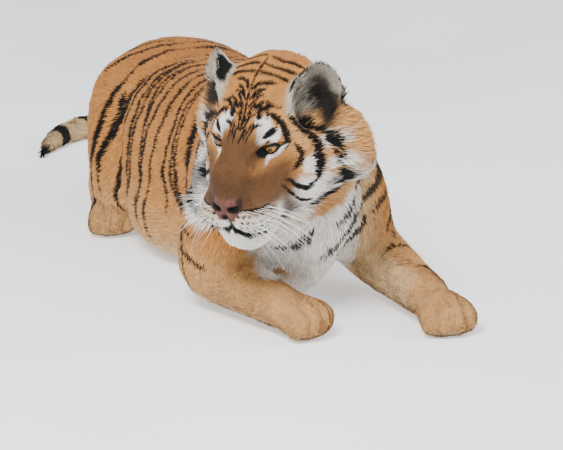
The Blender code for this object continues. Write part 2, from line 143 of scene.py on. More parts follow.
def noise(points, size, seed=0):
    """Smooth noise from -1 to 1, with lumps of about the size given."""
    cells = np.floor(points / size).astype(np.int64)
    part = points / size - cells
    part = part * part * (3.0 - 2.0 * part)
    total = np.zeros(len(points))
    for corner in itertools.product((0, 1), repeat=3):
        x, y, z = (cells + corner).T
        number = (x * 73856093 ^ y * 19349663 ^ z * 83492791 ^ (seed + 1) * 2654435761) & 0xFFFFFFFF
        number = ((number ^ (number >> 13)) * 1274126177) & 0xFFFFFFFF
        number = ((number ^ (number >> 15)) * 2246822519) & 0xFFFFFFFF
        value = (number ^ (number >> 16)) / 0xFFFFFFFF * 2.0 - 1.0
        total += value * np.prod(np.where(corner, part, 1.0 - part), axis=1)
    return total


# ---- the coat and its lie, for each part ---------------------------------------------
# tuft length, tuft width, rise of the tip as a share of the length, depth of the coat, and
# tufts per square metre
TRUNK_COAT = (0.019, 0.0025, 0.16, 0.0050, 140000)
NECK_COAT = (0.036, 0.0032, 0.20, 0.0100, 90000)
HEAD_COAT = (0.0070, 0.0016, 0.17, 0.0026, 300000)
RUFF_COAT = (0.032, 0.0026, 0.16, 0.0090, 150000)
CHIN_COAT = (0.012, 0.0016, 0.22, 0.0034, 300000)
MUZZLE_COAT = (0.0056, 0.0012, 0.20, 0.0016, 420000)
EAR_COAT = (0.010, 0.0018, 0.20, 0.0010, 190000)
CUP_COAT = (0.022, 0.0015, 0.34, 0.0016, 190000)
LIMB_COAT = (0.015, 0.0024, 0.15, 0.0042, 130000)
FOOT_COAT = (0.010, 0.0020, 0.15, 0.0030, 170000)
TAIL_COAT = (0.022, 0.0028, 0.18, 0.0060, 120000)

# each part's coat, its group, and the way that its hair points, in body directions with x
# outwards, or None where lie_of works it out
PARTS = {
    "head": (HEAD_COAT, "face", None),
    "lower_jaw": (HEAD_COAT, "face", None),
    "nose": (HEAD_COAT, "face", None),
    "ear": (EAR_COAT, "ear", None),
    "neck": (NECK_COAT, "body", (0.0, 0.7, -0.75)),
    "chest": (TRUNK_COAT, "body", (0.0, 1.0, -0.45)),
    "belly": (TRUNK_COAT, "body", (0.0, 1.0, -0.30)),
    "rump": (TRUNK_COAT, "body", (0.0, 1.0, -0.35)),
    "upper_arm": (LIMB_COAT, "arm", (0.0, 0.35, -1.0)),
    "forearm": (LIMB_COAT, "arm", (-0.2, -1.0, -0.1)),
    "front_paw": (FOOT_COAT, "arm", (-0.1, -1.0, -0.15)),
    "thigh": (TRUNK_COAT, "body", (0.0, 0.75, -0.75)),
    "shank": (LIMB_COAT, "body", (0.0, 0.9, -0.4)),
    "hind_foot": (FOOT_COAT, "body", (0.1, -1.0, -0.2)),
    "tail_base": (TAIL_COAT, "tail", None),
    "tail_middle": (TAIL_COAT, "tail", None),
    "tail_tip": (TAIL_COAT, "tail", None),
}
GROUPS = ("face", "ear", "tail", "arm")       # the groups that have colours of their own

# the middle line of the tail, from the rump to the tip, in body coordinates
TAIL_LINE = ((0.000, 0.985, 0.185), (0.030, 1.080, 0.130), (0.095, 1.180, 0.064), (0.160, 1.295, 0.040),
             (0.170, 1.420, 0.038), (0.105, 1.520, 0.037), (-0.010, 1.535, 0.036), (-0.110, 1.470, 0.034),
             (-0.172, 1.385, 0.026), (-0.198, 1.340, 0.016))

# the nodes under each piece of the coat; those of the head are shared out as face and crown
COAT_GROUPS = {
    "coat_face": ("face",), "coat_crown": ("crown",), "coat_ears": ("ear_left", "ear_right"),
    "coat_neck": ("neck",), "coat_chest": ("chest",), "coat_belly": ("belly",), "coat_rump": ("rump",),
    "coat_tail": ("tail_base", "tail_middle", "tail_tip"),
}
for leg, members in {"front": ("upper_arm", "forearm", "front_paw"),
                     "hind": ("thigh", "shank", "hind_foot")}.items():
    for side in ("left", "right"):
        COAT_GROUPS[f"coat_{leg}_leg_{side}"] = [f"{part}_{side}" for part in members]


def part_of(node):
    """The name of a node's part, without its side."""
    return node.replace("_left", "").replace("_right", "")


# ---- the skin's mesh -----------------------------------------------------------------
SKIN_VOXEL = 0.0078
JOIN_GROWTH = 0.0012         # the pieces are grown by this, so that the cuts between them close
SKIN_ABOVE_FLOOR = 0.001
SKIN_SHADE = 0.80            # brightness of the skin below the coat, as a share of the coat's: painted shade between the tufts


def new_object(name, mesh):
    obj = bpy.data.objects.new(name, mesh)
    bpy.context.scene.collection.objects.link(obj)
    return obj


def apply_modifiers(obj):
    graph = bpy.context.evaluated_depsgraph_get()
    mesh = bpy.data.meshes.new_from_object(obj.evaluated_get(graph))
    obj.modifiers.clear()
    obj.data = mesh


def edited(mesh, change):
    """A mesh after a change to it as a bmesh."""
    bm = bmesh.new()
    bm.from_mesh(mesh)
    change(bm)
    bm.to_mesh(mesh)
    bm.free()
    return mesh


def joined_flesh():
    """Copies of the solids of flesh, grown a little, in one mesh."""
    def grow(piece):
        bmesh.ops.remove_doubles(piece, verts=piece.verts, dist=1e-5)
        bmesh.ops.recalc_face_normals(piece, faces=piece.faces)
        piece.normal_update()
        for vertex in piece.verts:
            vertex.co += vertex.normal * JOIN_GROWTH

    def add_pieces(bm):
        for node in FLESH:
            piece = edited(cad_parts[node].data.copy(), grow)
            bm.from_mesh(piece)
            bpy.data.meshes.remove(piece)

    return new_object("skin", edited(bpy.data.meshes.new("skin"), add_pieces))


def head_share(points):
    """1 on the face and skull, falling to 0 behind them."""
    return 1.0 - step(0.15, 0.22, norm(in_head(points) - (0.0, -0.03, -0.04)))


def vertex_array(mesh):
    values = np.empty(len(mesh.vertices) * 3, np.float32)
    mesh.vertices.foreach_get("co", values)
    return values.reshape(-1, 3).astype(float)


def move_vertices(mesh, points):
    mesh.vertices.foreach_set("co", points.astype(np.float32).ravel())


def smooth_group(obj, name, weights, passes):
    group = obj.vertex_groups.new(name=name)
    for index, weight in enumerate(weights):
        if weight > 0.001:
            group.add([index], float(weight), "REPLACE")
    modifier = obj.modifiers.new(name, "SMOOTH")
    modifier.factor = 0.5
    modifier.iterations = passes
    modifier.vertex_group = name


def limb_share(points):
    """1 on the legs, paws, tail and ears, which keep their thickness when the skin is smoothed."""
    share = np.zeros(len(points))
    for node in FLESH:
        if node.split("_")[0] in ("forearm", "front", "hind", "shank", "tail", "ear"):
            low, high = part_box(node)
            inside = np.all((points > np.array(low) - 0.01) & (points < np.array(high) + 0.01), axis=1)
            share[inside] = 1.0
    return share


def refine(obj, wanted, passes):
    """Split the faces of a region into four, and round them off."""
    def wanted_verts(bm):
        bm.verts.ensure_lookup_table()
        return wanted(np.array([v.co for v in bm.verts]))

    def change(bm):
        near = wanted_verts(bm)
        edges = [e for e in bm.edges if near[e.verts[0].index] and near[e.verts[1].index]]
        bmesh.ops.subdivide_edges(bm, edges=edges, cuts=1, use_grid_fill=True)
        near = wanted_verts(bm)
        verts = [v for v in bm.verts if near[v.index]]
        for _ in range(passes):
            bmesh.ops.smooth_vert(bm, verts=verts, factor=0.5,
                                  use_axis_x=True, use_axis_y=True, use_axis_z=True)

    edited(obj.data, change)


def base_skin():
    obj = joined_flesh()
    modifier = obj.modifiers.new("voxels", "REMESH")
    modifier.mode = "VOXEL"
    modifier.voxel_size = SKIN_VOXEL
    apply_modifiers(obj)
    points = vertex_array(obj.data)
    head = head_share(points)
    limb = limb_share(points)
    smooth_group(obj, "all", np.ones(len(points)), 5)
    smooth_group(obj, "trunk", (1.0 - head) * (1.0 - limb), 24)
    smooth_group(obj, "limbs", (1.0 - head) * limb, 6)
    apply_modifiers(obj)
    obj.vertex_groups.clear()
    refine(obj, lambda p: head_share(p) > 0.35, 2)
    refine(obj, near_detail, 1)
    edited(obj.data, lambda bm: bmesh.ops.triangulate(bm, faces=bm.faces))
    return obj


def near_detail(points):
    """The eyes and the nose, which need the finest mesh."""
    p = in_head(points)
    eyes = np.minimum(norm(p - (0.054, 0.024, 0.0)), norm(p - (-0.054, 0.024, 0.0)))
    return (eyes < 0.036) | (norm(p - (0.0, 0.125, -0.085)) < 0.052)


def triangle_array(mesh):
    values = np.empty(len(mesh.loops), np.int32)
    mesh.loops.foreach_get("vertex_index", values)
    return values.reshape(-1, 3)


def normals_of(points, triangles):
    a, b, c = (points[triangles[:, k]] for k in range(3))
    flat = np.cross(b - a, c - a)
    total = np.zeros_like(points)
    for k in range(3):
        np.add.at(total, triangles[:, k], flat)
    return unit(total)


def spread(values, triangles, passes):
    """Even out values on the skin's vertices with those of their neighbours."""
    edges = np.concatenate([triangles[:, (0, 1)], triangles[:, (1, 2)], triangles[:, (2, 0)]])
    count = np.bincount(edges[:, 0], minlength=len(values)) + np.bincount(edges[:, 1], minlength=len(values))
    for _ in range(passes):
        total = np.zeros_like(values)
        for k in range(values.shape[1]):
            total[:, k] += np.bincount(edges[:, 0], values[edges[:, 1], k], len(values))
            total[:, k] += np.bincount(edges[:, 1], values[edges[:, 0], k], len(values))
        values = 0.4 * values + 0.6 * total / count[:, None]
    return values


def nearest_nodes(points):
    """The name of the CAD node that is nearest to each point."""
    corners, faces, owners = [], [], []
    for node in FLESH:
        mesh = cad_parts[node].data
        first = len(corners)
        corners += [v.co for v in mesh.vertices]
        for polygon in mesh.polygons:
            faces.append([first + i for i in polygon.vertices])
            owners.append(node)
    tree = BVHTree.FromPolygons(corners, faces)
    return np.array([owners[tree.find_nearest(Vector(p))[2]] for p in points])


def tail_frame(points):
    """Share of the way along the tail, and the tail's direction, for each point."""
    line = np.array(TAIL_LINE) + np.array(BODY)
    lengths = norm(np.diff(line, axis=0))
    starts = np.concatenate([[0.0], np.cumsum(lengths)])
    best = np.full(len(points), 9.0)
    along = np.zeros(len(points))
    ways = np.zeros((len(points), 3))
    for k in range(len(lengths)):
        way = (line[k + 1] - line[k]) / lengths[k]
        t = np.clip((points - line[k]) @ way, 0.0, lengths[k])
        distance = norm(points - (line[k] + t[:, None] * way))
        near = distance < best
        best[near] = distance[near]
        along[near] = (starts[k] + t)[near]
        ways[near] = way
    return along / starts[-1], ways


def soft_groups(nodes, triangles):
    """How much each vertex belongs to each of GROUPS, evened out over the skin."""
    table = {node: PARTS[part_of(node)][1] for node in FLESH}
    names = np.array([table[node] for node in nodes])
    shares = np.stack([(names == group).astype(float) for group in GROUPS], axis=1)
    return spread(shares, triangles, 7)


def head_lie(points):
    """On the face the hair runs back from the nose, and on the cheeks out and down as well."""
    p = in_head(points)
    out = 11.0 * p[:, 0]
    down = -1.25 * step(0.01, -0.11, p[:, 1] * 0.35 + p[:, 2]) + 0.25
    ways = np.stack([out, np.full(len(p), -1.0), down], axis=1)
    return transformed(ways, HEAD.to_3x3().to_4x4())


def lie_of(points, nodes):
    """The way that the hair points on each vertex of the skin."""
    ways = np.zeros((len(points), 3))
    worked_out = {"face": unit(head_lie(points)), "tail": tail_frame(points)[1]}
    for node in FLESH:
        rows = nodes == node
        group, lie = PARTS[part_of(node)][1:]
        outward = -1.0 if node.endswith("_right") else 1.0
        if lie:
            ways[rows] = Vector((lie[0] * outward, *lie[1:])).normalized()
        elif group == "ear":
            ways[rows] = (HEAD.to_3x3() @ Vector((-0.45 * outward, -0.10, 0.88))).normalized()
        else:
            ways[rows] = worked_out[group][rows]
    return ways


# ---- sculpting -----------------------------------------------------------------------
EYE_HALF_WIDTH = 0.0160      # of the opening between the lids
EYE_UPPER = 0.0078           # height of the opening above its middle line, and below it
EYE_LOWER = 0.0088
LID_THICKNESS = 0.0032


def eye_matrix(side):
    """Eye frame: y out of the pupil. side is 1 on the tiger's right."""
    place = centre("eye_right" if side > 0 else "eye_left")
    rotation = HEAD.to_3x3().normalized().to_4x4() @ turn_by(-EYE_OUTWARD * side, "Z")
    return Matrix.Translation(place) @ rotation


def almond(x, z, side):
    """How far outside the eye's opening a point is; negative inside."""
    inward = -side * x
    lifted = z + 0.16 * inward
    half = EYE_HALF_WIDTH * (1.0 + 0.12 * (inward > 0))
    height = np.where(lifted > 0, EYE_UPPER, EYE_LOWER)
    q = np.abs(inward / half) ** 2.0 + np.abs(lifted / height) ** 1.7
    return (np.sqrt(q) - 1.0) * 0.5 * (EYE_UPPER + EYE_LOWER)


def in_eye(points, side):
    """Points in an eye's frame, and how far outside its opening they are."""
    p = transformed(points, eye_matrix(side).inverted())
    return p, almond(p[:, 0], p[:, 2], side)


def sculpt_eyes(points):
    """Wrap the lids round the eyeballs, and open them."""
    for side in (1, -1):
        p, outside = in_eye(points, side)
        x, y, z = p.T
        flat = np.hypot(x, z)
        near = (flat < 0.045) & (y > -0.016) & (y < 0.06)
        ball = np.sqrt(np.maximum(EYE_RADIUS ** 2 - flat ** 2, (0.42 * EYE_RADIUS) ** 2))
        lid = ball + LID_THICKNESS + 0.0012 * np.exp(-np.maximum(outside, 0.0) / 0.003)
        share = np.exp(-(np.maximum(outside, 0.0) / 0.010) ** 2)
        target = np.where(outside < 0.0, ball - 0.005, y + (lid - y) * share)
        p[:, 1] = np.where(near, target, y)
        points = np.where(near[:, None], transformed(p, eye_matrix(side)), points)
    return points


def mound(h, place, radius, sharpness=1.0):
    """1 at a place in the head's frame, falling smoothly to 0 round it."""
    return np.exp(-norm((h - place) / radius) ** 2 * sharpness)


def bump(points, normals, place, radius, height):
    """Raise the skin round a place in the head's frame."""
    return points + normals * (height * mound(in_head(points), place, radius))[:, None]


def sculpt_nose(points, normals):
    """The nostrils with their slits, and the cleft between them."""
    h = in_head(points)
    x, y, z = h.T
    for side in (1, -1):
        pit = mound(h, (0.0155 * side, 0.128, -0.070), (0.0085, 0.030, 0.0058), 1.4)
        slit = 0.6 * mound(h, (0.0235 * side, 0.120, -0.066), (0.0060, 0.030, 0.0030), 1.4)
        points = points - normals * (0.009 * np.maximum(pit, slit))[:, None]
    cleft = np.exp(-(x / 0.0022) ** 2) * step(-0.064, -0.080, z) * step(-0.130, -0.122, z)
    return points - normals * (0.003 * (cleft * (y > 0.08)))[:, None]


# the line of the mouth from the middle to the corner, and the line from the nose down to it
MOUTH = ((0.0, 0.140, -0.113), (0.012, 0.138, -0.121), (0.030, 0.126, -0.130), (0.048, 0.104, -0.136),
         (0.062, 0.072, -0.139), (0.070, 0.040, -0.144), (0.074, 0.012, -0.152))
CLEFT = ((0.0, 0.150, -0.090), (0.0, 0.148, -0.102), (0.0, 0.140, -0.113))


def on_skin(tree, places, side=1):
    """Places in the head's frame, moved to the nearest point of the skin."""
    found = [tree.find_nearest(HEAD @ Vector((x * side, y, z)))[0] for x, y, z in places]
    return np.array([HEAD.inverted() @ place for place in found])


def skin_tree(points, triangles):
    return BVHTree.FromPolygons([Vector(p) for p in points], triangles.tolist())


def mouth_distance(points, tree):
    """Distance from the line of the mouth, and from the cleft above it, in head units."""
    h = in_head(points)
    best = distance_to_line(h, on_skin(tree, CLEFT))
    for side in (1, -1):
        best = np.minimum(best, distance_to_line(h, on_skin(tree, MOUTH, side)))
    return best


def sculpt_mouth(points, normals, tree):
    groove = np.exp(-(mouth_distance(points, tree) / 0.0042) ** 2)
    return points - normals * (0.0060 * groove)[:, None]


def distance_to_line(points, line):
    best = np.full(len(points), 9.0)
    for a, b in zip(line, line[1:]):
        way = b - a
        t = np.clip((points - a) @ way / (way @ way), 0.0, 1.0)
        best = np.minimum(best, norm(points - (a + t[:, None] * way)))
    return best


# toe and heel of each paw in body coordinates, and half its width
PAWS = (
    ((-0.046, -0.352, 0.050), (-0.096, -0.270, 0.064), 0.068),
    ((0.232, -0.425, 0.050), (0.226, -0.300, 0.064), 0.068),
    ((-0.232, 0.560, 0.046), (-0.220, 0.674, 0.053), 0.058),
    ((0.232, 0.560, 0.046), (0.220, 0.674, 0.053), 0.058),
)


def sculpt_toes(points, normals):
    """Grooves between the four toes of each paw."""
    for toe, heel, half_width in PAWS:
        toe, heel = Vector(toe) + BODY, Vector(heel) + BODY
        forward = Vector((toe.x - heel.x, toe.y - heel.y, 0.0)).normalized()
        across = forward.cross(Vector((0, 0, 1)))
        from_toe = points - np.array(toe)
        along = from_toe @ np.array(forward)
        beside = from_toe @ np.array(across)
        for gap in (-0.45, 0.0, 0.45):
            place = gap * half_width * (1.0 + 2.0 * np.clip(along, -0.05, 0.03))
            groove = np.exp(-((beside - place) / 0.0048) ** 2) * step(-0.052, -0.004, along) * (along < 0.06)
            groove = groove * step(0.012, 0.026, points[:, 2]) * (np.abs(beside) < half_width)
            groove = groove * (from_toe[:, 2] < 0.05)
            points = points - normals * (0.011 * groove)[:, None]
    return points


# broad swellings and hollows, given on the left side: places in body coordinates, reach, and height
FORMS = (
    (((0.10, 0.60, 0.42), (0.19, 0.58, 0.30), (0.235, 0.535, 0.20), (0.245, 0.48, 0.10)), 0.034, -0.017),
    (((0.15, 0.80, 0.36), (0.20, 0.76, 0.25), (0.24, 0.66, 0.17)), 0.085, 0.012),
    (((0.10, 0.96, 0.34), (0.13, 0.98, 0.24)), 0.060, 0.006),
    (((0.14, 0.11, 0.42), (0.20, 0.13, 0.30), (0.22, 0.15, 0.18), (0.22, 0.14, 0.08)), 0.036, -0.015),
    (((0.13, -0.02, 0.42), (0.18, -0.03, 0.30)), 0.070, 0.008),
    (((0.17, 0.28, 0.34), (0.20, 0.44, 0.30)), 0.110, -0.010),
    (((0.02, 0.26, 0.47), (0.02, 0.58, 0.45)), 0.090, -0.012),
    (((0.08, -0.09, 0.50), (0.15, -0.13, 0.36), (0.17, -0.15, 0.24)), 0.040, -0.010),
)


def sculpt_body(points, normals):
    """Set the haunch and the shoulder off from the flank, and hollow the back and the flank."""
    for places, reach, height in FORMS:
        for side in (1, -1):
            line = np.array(places) * (side, 1.0, 1.0) + np.array(BODY)
            distance = distance_to_line(points, line)
            rise = np.exp(-(distance / reach) ** 2) * step(0.015, 0.05, points[:, 2])
            points = points + normals * (height * rise)[:, None]
    return points


def sculpt(points, triangles):
    """All of the finer shapes, one after another."""
    def again(change, *others):
        return change(points, normals_of(points, triangles), *others)

    points = again(sculpt_body)
    for side in (1, -1):
        normals = normals_of(points, triangles)
        points = bump(points, normals, (0.036 * side, 0.104, -0.098), (0.028, 0.036, 0.020), 0.007)
        points = bump(points, normals, (0.034 * side, 0.050, -0.030), (0.016, 0.060, 0.022), 0.005)
        points = bump(points, normals, (0.055 * side, 0.012, 0.024), (0.026, 0.020, 0.010), 0.003)
    points = again(sculpt_mouth, skin_tree(points, triangles))
    points = again(sculpt_nose)
    points = again(sculpt_toes)
    return sculpt_eyes(sculpt_ears(points))


# ---- markings ------------------------------------------------------------------------
def srgb(red, green, blue):
    return np.array([(c / 255.0) ** 2.2 for c in (red, green, blue)])


ORANGE = srgb(177, 120, 64)
DEEP_ORANGE = srgb(154, 98, 50)
TAN = srgb(192, 148, 98)
CREAM = srgb(202, 172, 128)
WHITE = srgb(222, 217, 208)
BLACK = srgb(14, 11, 10)
BRIDGE = srgb(80, 55, 36)
NOSE_PINK = srgb(116, 76, 66)
LIP = srgb(15, 12, 12)
GREY_HAIR = srgb(176, 166, 150)

HEAD_MIDDLE = Vector((0.0, -0.060, -0.030))
HEAD_REACH = 0.11            # about how far the head's skin is from its middle

# strokes on the right half of the head, mirrored to the left: half widths at the start and at
# the end, then degrees out from straight ahead and degrees up
HEAD_STROKE_SCALE = 1.15e-3
HEAD_STROKES = (
    (2.4, 3.0, (0, 34), (1, 46), (0, 60), (0, 76), (180, 80), (180, 62)),
    (1.8, 2.4, (1, 36), (6, 43), (10, 51)),
    (1.8, 2.4, (2, 44), (8, 52), (15, 58)),
    (1.8, 2.8, (3, 52), (12, 60), (24, 65)),
    (2.0, 3.2, (4, 60), (18, 67), (38, 70)),
    (1.4, 1.8, (7, 28), (11, 36), (14, 44)),
    (1.2, 1.6, (4, 27), (7, 34), (8, 41)),
    (1.4, 1.8, (12, 30), (16, 38), (20, 45)),
    (1.3, 1.6, (3, 24), (5, 33), (4, 43)),
    (1.3, 1.6, (9, 24), (13, 32), (17, 40), (18, 48)),
    (1.5, 2.0, (8, 50), (15, 53), (23, 56)),
    (2.4, 2.8, (44, 62), (58, 56), (66, 50)),
    (2.2, 2.6, (14, 70), (34, 73), (52, 68)),
    (2.2, 2.0, (38, 44), (44, 58), (50, 64)),
    (2.8, 3.2, (22, 54), (32, 57), (44, 56)),
    (2.4, 2.8, (19, 59), (28, 61), (38, 59)),
    (2.8, 4.0, (6, 68), (30, 76), (66, 74)),
    (3.2, 4.4, (10, 78), (60, 83), (92, 70)),
    (3.4, 4.6, (178, 84), (120, 76), (104, 58)),
    (3.6, 4.8, (178, 74), (140, 70), (120, 54)),
    (3.6, 4.8, (178, 64), (150, 62), (134, 48)),
    (2.6, 3.2, (18, 60), (34, 64), (52, 62)),
    (2.4, 3.0, (34, 58), (48, 58), (62, 54)),
    (10.5, 9.5, (25, 48), (32, 62)),
    (4.2, 2.4, (18, 39), (23, 42), (30, 41)),
    (3.6, 6.6, (28, 28), (36, 31), (46, 35)),
    (6.6, 7.0, (44, 52), (52, 43), (55, 32), (52, 20), (47, 12)),
    (4.6, 5.4, (57, 14), (60, 4), (56, -4), (50, -9)),
    (6.4, 7.6, (68, 40), (72, 24), (74, 6), (70, -12), (63, -22)),
    (5.4, 3.4, (64, -21), (55, -23), (46, -18), (40, -11)),
    (8.4, 7.8, (84, 40), (88, 22), (88, 2), (84, -18)),
    (10.0, 15.0, (84, -20), (87, -30), (84, -42), (76, -48)),
    (6.0, 7.0, (110, 26), (114, 4), (112, -22)),
    (3.0, 3.4, (40, -20), (47, -29), (58, -35)),
    (1.6, 2.2, (36, -14), (40, -22), (46, -27)),
)

# soft pale patches on the right half of the head, mirrored: degrees out, degrees up, radius, strength
HEAD_PATCHES = (
    (33, 35, 0.019, 1.0), (41, 30, 0.013, 1.0), (27, 26, 0.010, 0.9), (31, 44, 0.015, 0.9),
    (64, -9, 0.013, 0.9), (74, -44, 0.034, 0.95), (54, -28, 0.024, 0.95), (66, -26, 0.020, 0.9),
    (80, -14, 0.010, 0.8), (90, -14, 0.012, 0.9), (92, 4, 0.010, 0.8), (80, -44, 0.040, 0.95),
    (50, -48, 0.045, 1.0), (20, -44, 0.050, 1.0), (0, -50, 0.050, 1.0), (80, 4, 0.010, 0.7),
    (96, -42, 0.030, 0.9), (98, -30, 0.020, 0.85),
)
JAW_PATCH = (83, -33)        # a dark patch at the jaw's corner: degrees out and up


def direction(out, up):
    """Degrees out from straight ahead and degrees up, as a direction with y ahead."""
    out, up = math.radians(out), math.radians(up)
    return Vector((math.sin(out) * math.cos(up), math.cos(out) * math.cos(up), math.sin(up)))


def body_direction(out, up):
    """The same in body directions, where -y is ahead and out is to the tiger's left."""
    return direction(out, up) * Vector((1.0, -1.0, 1.0))


def lay_stroke(samples, tree, ray_at, controls, start_width, end_width, pieces):
    """Lay a stroke on the skin: points along it, each with a half width."""
    last = len(controls) - 1
    for i in range(pieces + 1):
        share = i / pieces
        k = min(int(share * last), last - 1)
        place = tree.ray_cast(*ray_at(controls, k, share * last - k))[0]
        if place is not None:
            width = start_width + (end_width - start_width) * share
            samples.append((place, width * min(1.0, 5.0 * share + 0.25, 5.0 * (1.0 - share) + 0.25)))


def lay_table(tree, table, ray_at, control, scale, pieces):
    """Lay all strokes of a table; control makes what ray_at needs of each place."""
    samples = []
    for start_width, end_width, *places in table:
        controls = [control(*place) for place in places]
        lay_stroke(samples, tree, ray_at, controls, start_width * scale, end_width * scale, pieces)
    return samples


def head_strokes(tree):
    def ray_at(ways, k, t):
        return HEAD @ HEAD_MIDDLE, HEAD.to_3x3() @ ways[k].lerp(ways[k + 1], t).normalized()

    samples = []
    for side in (1, -1):
        def control(out, up):
            return direction(out * side, up)

        samples += lay_table(tree, HEAD_STROKES, ray_at, control, HEAD_STROKE_SCALE, 40)
    return samples


# the trunk's middle height, from the shoulder back
AXIS = ((-0.25, 0.27), (0.0, 0.25), (0.4, 0.23), (0.8, 0.20), (1.1, 0.15))


def axis_height(y):
    return float(np.interp(y, *zip(*AXIS)))


def flank_ray(places, k, t):
    """A ray out of the trunk at a place between two places given as y and degrees from the spine."""
    y = places[k][0] + (places[k + 1][0] - places[k][0]) * t
    angle = math.radians(places[k][1] + (places[k + 1][1] - places[k][1]) * t)
    return Vector((0.0, y, axis_height(y))) + BODY, Vector((math.sin(angle), 0.0, math.cos(angle)))


# strokes on the haunch: half widths in mm, then y and degrees from the spine
HAUNCH_STROKES = (
    (9.0, 13.0, (0.740, 2), (0.790, 24), (0.850, 42), (0.892, 60), (0.900, 84)),
    (11.0, 13.0, (0.655, 52), (0.634, 66), (0.620, 82), (0.616, 100)),
    (9.0, 10.0, (0.612, 54), (0.592, 70), (0.580, 86), (0.578, 98)),
    (8.0, 7.0, (0.905, 4), (0.935, 28), (0.958, 54), (0.962, 92)),
    (7.0, 6.0, (0.955, 2), (0.985, 28), (0.998, 58), (0.998, 95)),
    (6.0, 5.0, (1.000, 4), (1.020, 36), (1.030, 80)),
    (8.0, 6.0, (0.690, 2), (0.725, 22), (0.760, 36), (0.772, 50)),
    (7.0, 5.0, (0.845, 2), (0.885, 24), (0.925, 44)),
)


FIRST_STRIPE, LAST_STRIPE = -0.035, 0.67       # y in body coordinates


def trunk_strokes(tree):
    """Stripes down each flank from the spine at uneven steps, many of them split in two."""
    samples = []
    draw = np.random.default_rng(23)
    for side in (1, -1):
        samples += lay_table(tree, HAUNCH_STROKES, flank_ray, lambda y, angle: (y, angle * side), 1e-3, 60)
        y = FIRST_STRIPE
        while y < LAST_STRIPE:
            start = draw.uniform(-3, 6)
            end = draw.uniform(114, 142)
            lean = draw.uniform(-0.050, -0.020)
            gap = draw.uniform(0.012, 0.016)
            width = draw.uniform(0.0088, 0.0118)
            split = draw.random() < 0.55
            for line in ((-1, 1) if split else (0,)):
                stop = end - (draw.uniform(10, 34) if line > 0 else 0)
                places = []
                for k in range(9):
                    u = k / 8
                    wobble = 0.007 * math.sin(4.6 * u + 31.0 * y) + 0.003 * math.sin(13.0 * u + 17.0 * y)
                    apart = gap * line * min(1.0, 2.6 * u) * (1.0 - 0.5 * u ** 4)
                    places.append((y + lean * u * u + 0.020 * u * (1 - u) + apart + wobble,
                                   (start + (stop - start) * u) * side))
                top_width = width * (0.78 if split else 1.05)
                lay_stroke(samples, tree, flank_ray, places, top_width, width * 0.66, 90)
            y += draw.uniform(0.050, 0.064)
    return samples


def limb_strokes(tree, line, count, reach, width, seed):
    """Bars across the outer side of a limb's middle line: how many, degrees each way, half width."""
    samples = []
    draw = np.random.default_rng(seed)
    points = [Vector(p) + BODY for p in line]
    outward = Vector((1.0 if line[0][0] > 0 else -1.0, 0.0, 0.55)).normalized()
    for k in range(count):
        t = (k + 0.5 + draw.uniform(-0.2, 0.2)) / count * (len(points) - 1)
        i = min(int(t), len(points) - 2)
        origin = points[i].lerp(points[i + 1], t - i)
        way = (points[i + 1] - points[i]).normalized()
        mean = outward - way * outward.dot(way)
        mean.normalize()
        shift = draw.uniform(-25, 25)
        tilt = draw.uniform(-0.3, 0.3)

        def ray_at(angles, j, u):
            angle = angles[j] + (angles[j + 1] - angles[j]) * u
            turn = Matrix.Rotation(math.radians(angle), 3, way)
            return origin + way * (0.02 * tilt * angle / 40.0), turn @ mean

        lay_stroke(samples, tree, ray_at, (shift - reach, shift, shift + reach), width, width * 0.8, 24)
    return samples


# middle lines of the striped lengths of the forelegs, in body coordinates
LEFT_LINE = ((0.122, -0.085, 0.250), (0.192, -0.010, 0.098), (0.226, -0.300, 0.064))
RIGHT_LINE = ((-0.142, -0.085, 0.265), (-0.186, -0.050, 0.100))

# bands round the throat and the front of the shoulders: half widths in mm, then a direction for
# each place from the neck's root: degrees from straight ahead to the left, and degrees up
NECK_MIDDLE = Vector((-0.020, 0.000, 0.270))
NECK_STROKES = (
    (11.0, 15.0, (84, 44), (72, 20), (56, 2), (36, -12), (18, -20)),
    (9.0, 10.0, (96, 34), (86, 10), (74, -10), (60, -22)),
    (8.0, 7.0, (108, 22), (100, -2), (92, -24)),
    (11.0, 12.0, (46, 20), (30, 4), (12, -6)),
    (9.0, 8.0, (26, 24), (12, 10), (-8, 2)),
    (9.0, 8.0, (-78, 24), (-66, 4), (-50, -10), (-30, -22)),
    (8.0, 7.0, (-96, 14), (-88, -8), (-78, -24)),
    (9.0, 8.0, (122, 50), (114, 28), (106, 8)),
    (9.0, 8.0, (-122, 50), (-114, 28), (-106, 8)),
    (6.0, 7.0, (-20, 84), (48, 72), (72, 54), (76, 36)),
    (6.0, 7.0, (-30, 72), (24, 66), (52, 50), (60, 36)),
    (5.0, 6.0, (-44, 62), (-4, 60), (28, 50), (42, 40)),
    (6.0, 6.0, (-70, 76), (-90, 58), (-88, 38)),
    (10.0, 8.0, (32, -6), (20, -15), (4, -22)),
    (9.0, 7.0, (2, -8), (-6, -17), (-16, -26)),
    (8.0, 7.0, (48, -14), (38, -26), (24, -36)),
)


def neck_strokes(tree):
    def ray_at(ways, k, t):
        return BODY + NECK_MIDDLE, ways[k].lerp(ways[k + 1], t).normalized()

    return lay_table(tree, NECK_STROKES, ray_at, body_direction, 1e-3, 40)


def all_strokes(tree):
    return (head_strokes(tree) + trunk_strokes(tree) + neck_strokes(tree)
            + limb_strokes(tree, LEFT_LINE, 6, 78, 0.0060, 32)
            + limb_strokes(tree, RIGHT_LINE, 3, 56, 0.0052, 30))


def point_tree(places):
    tree = KDTree(len(places))
    for index, place in enumerate(places):
        tree.insert(place, index)
    tree.balance()
    return tree


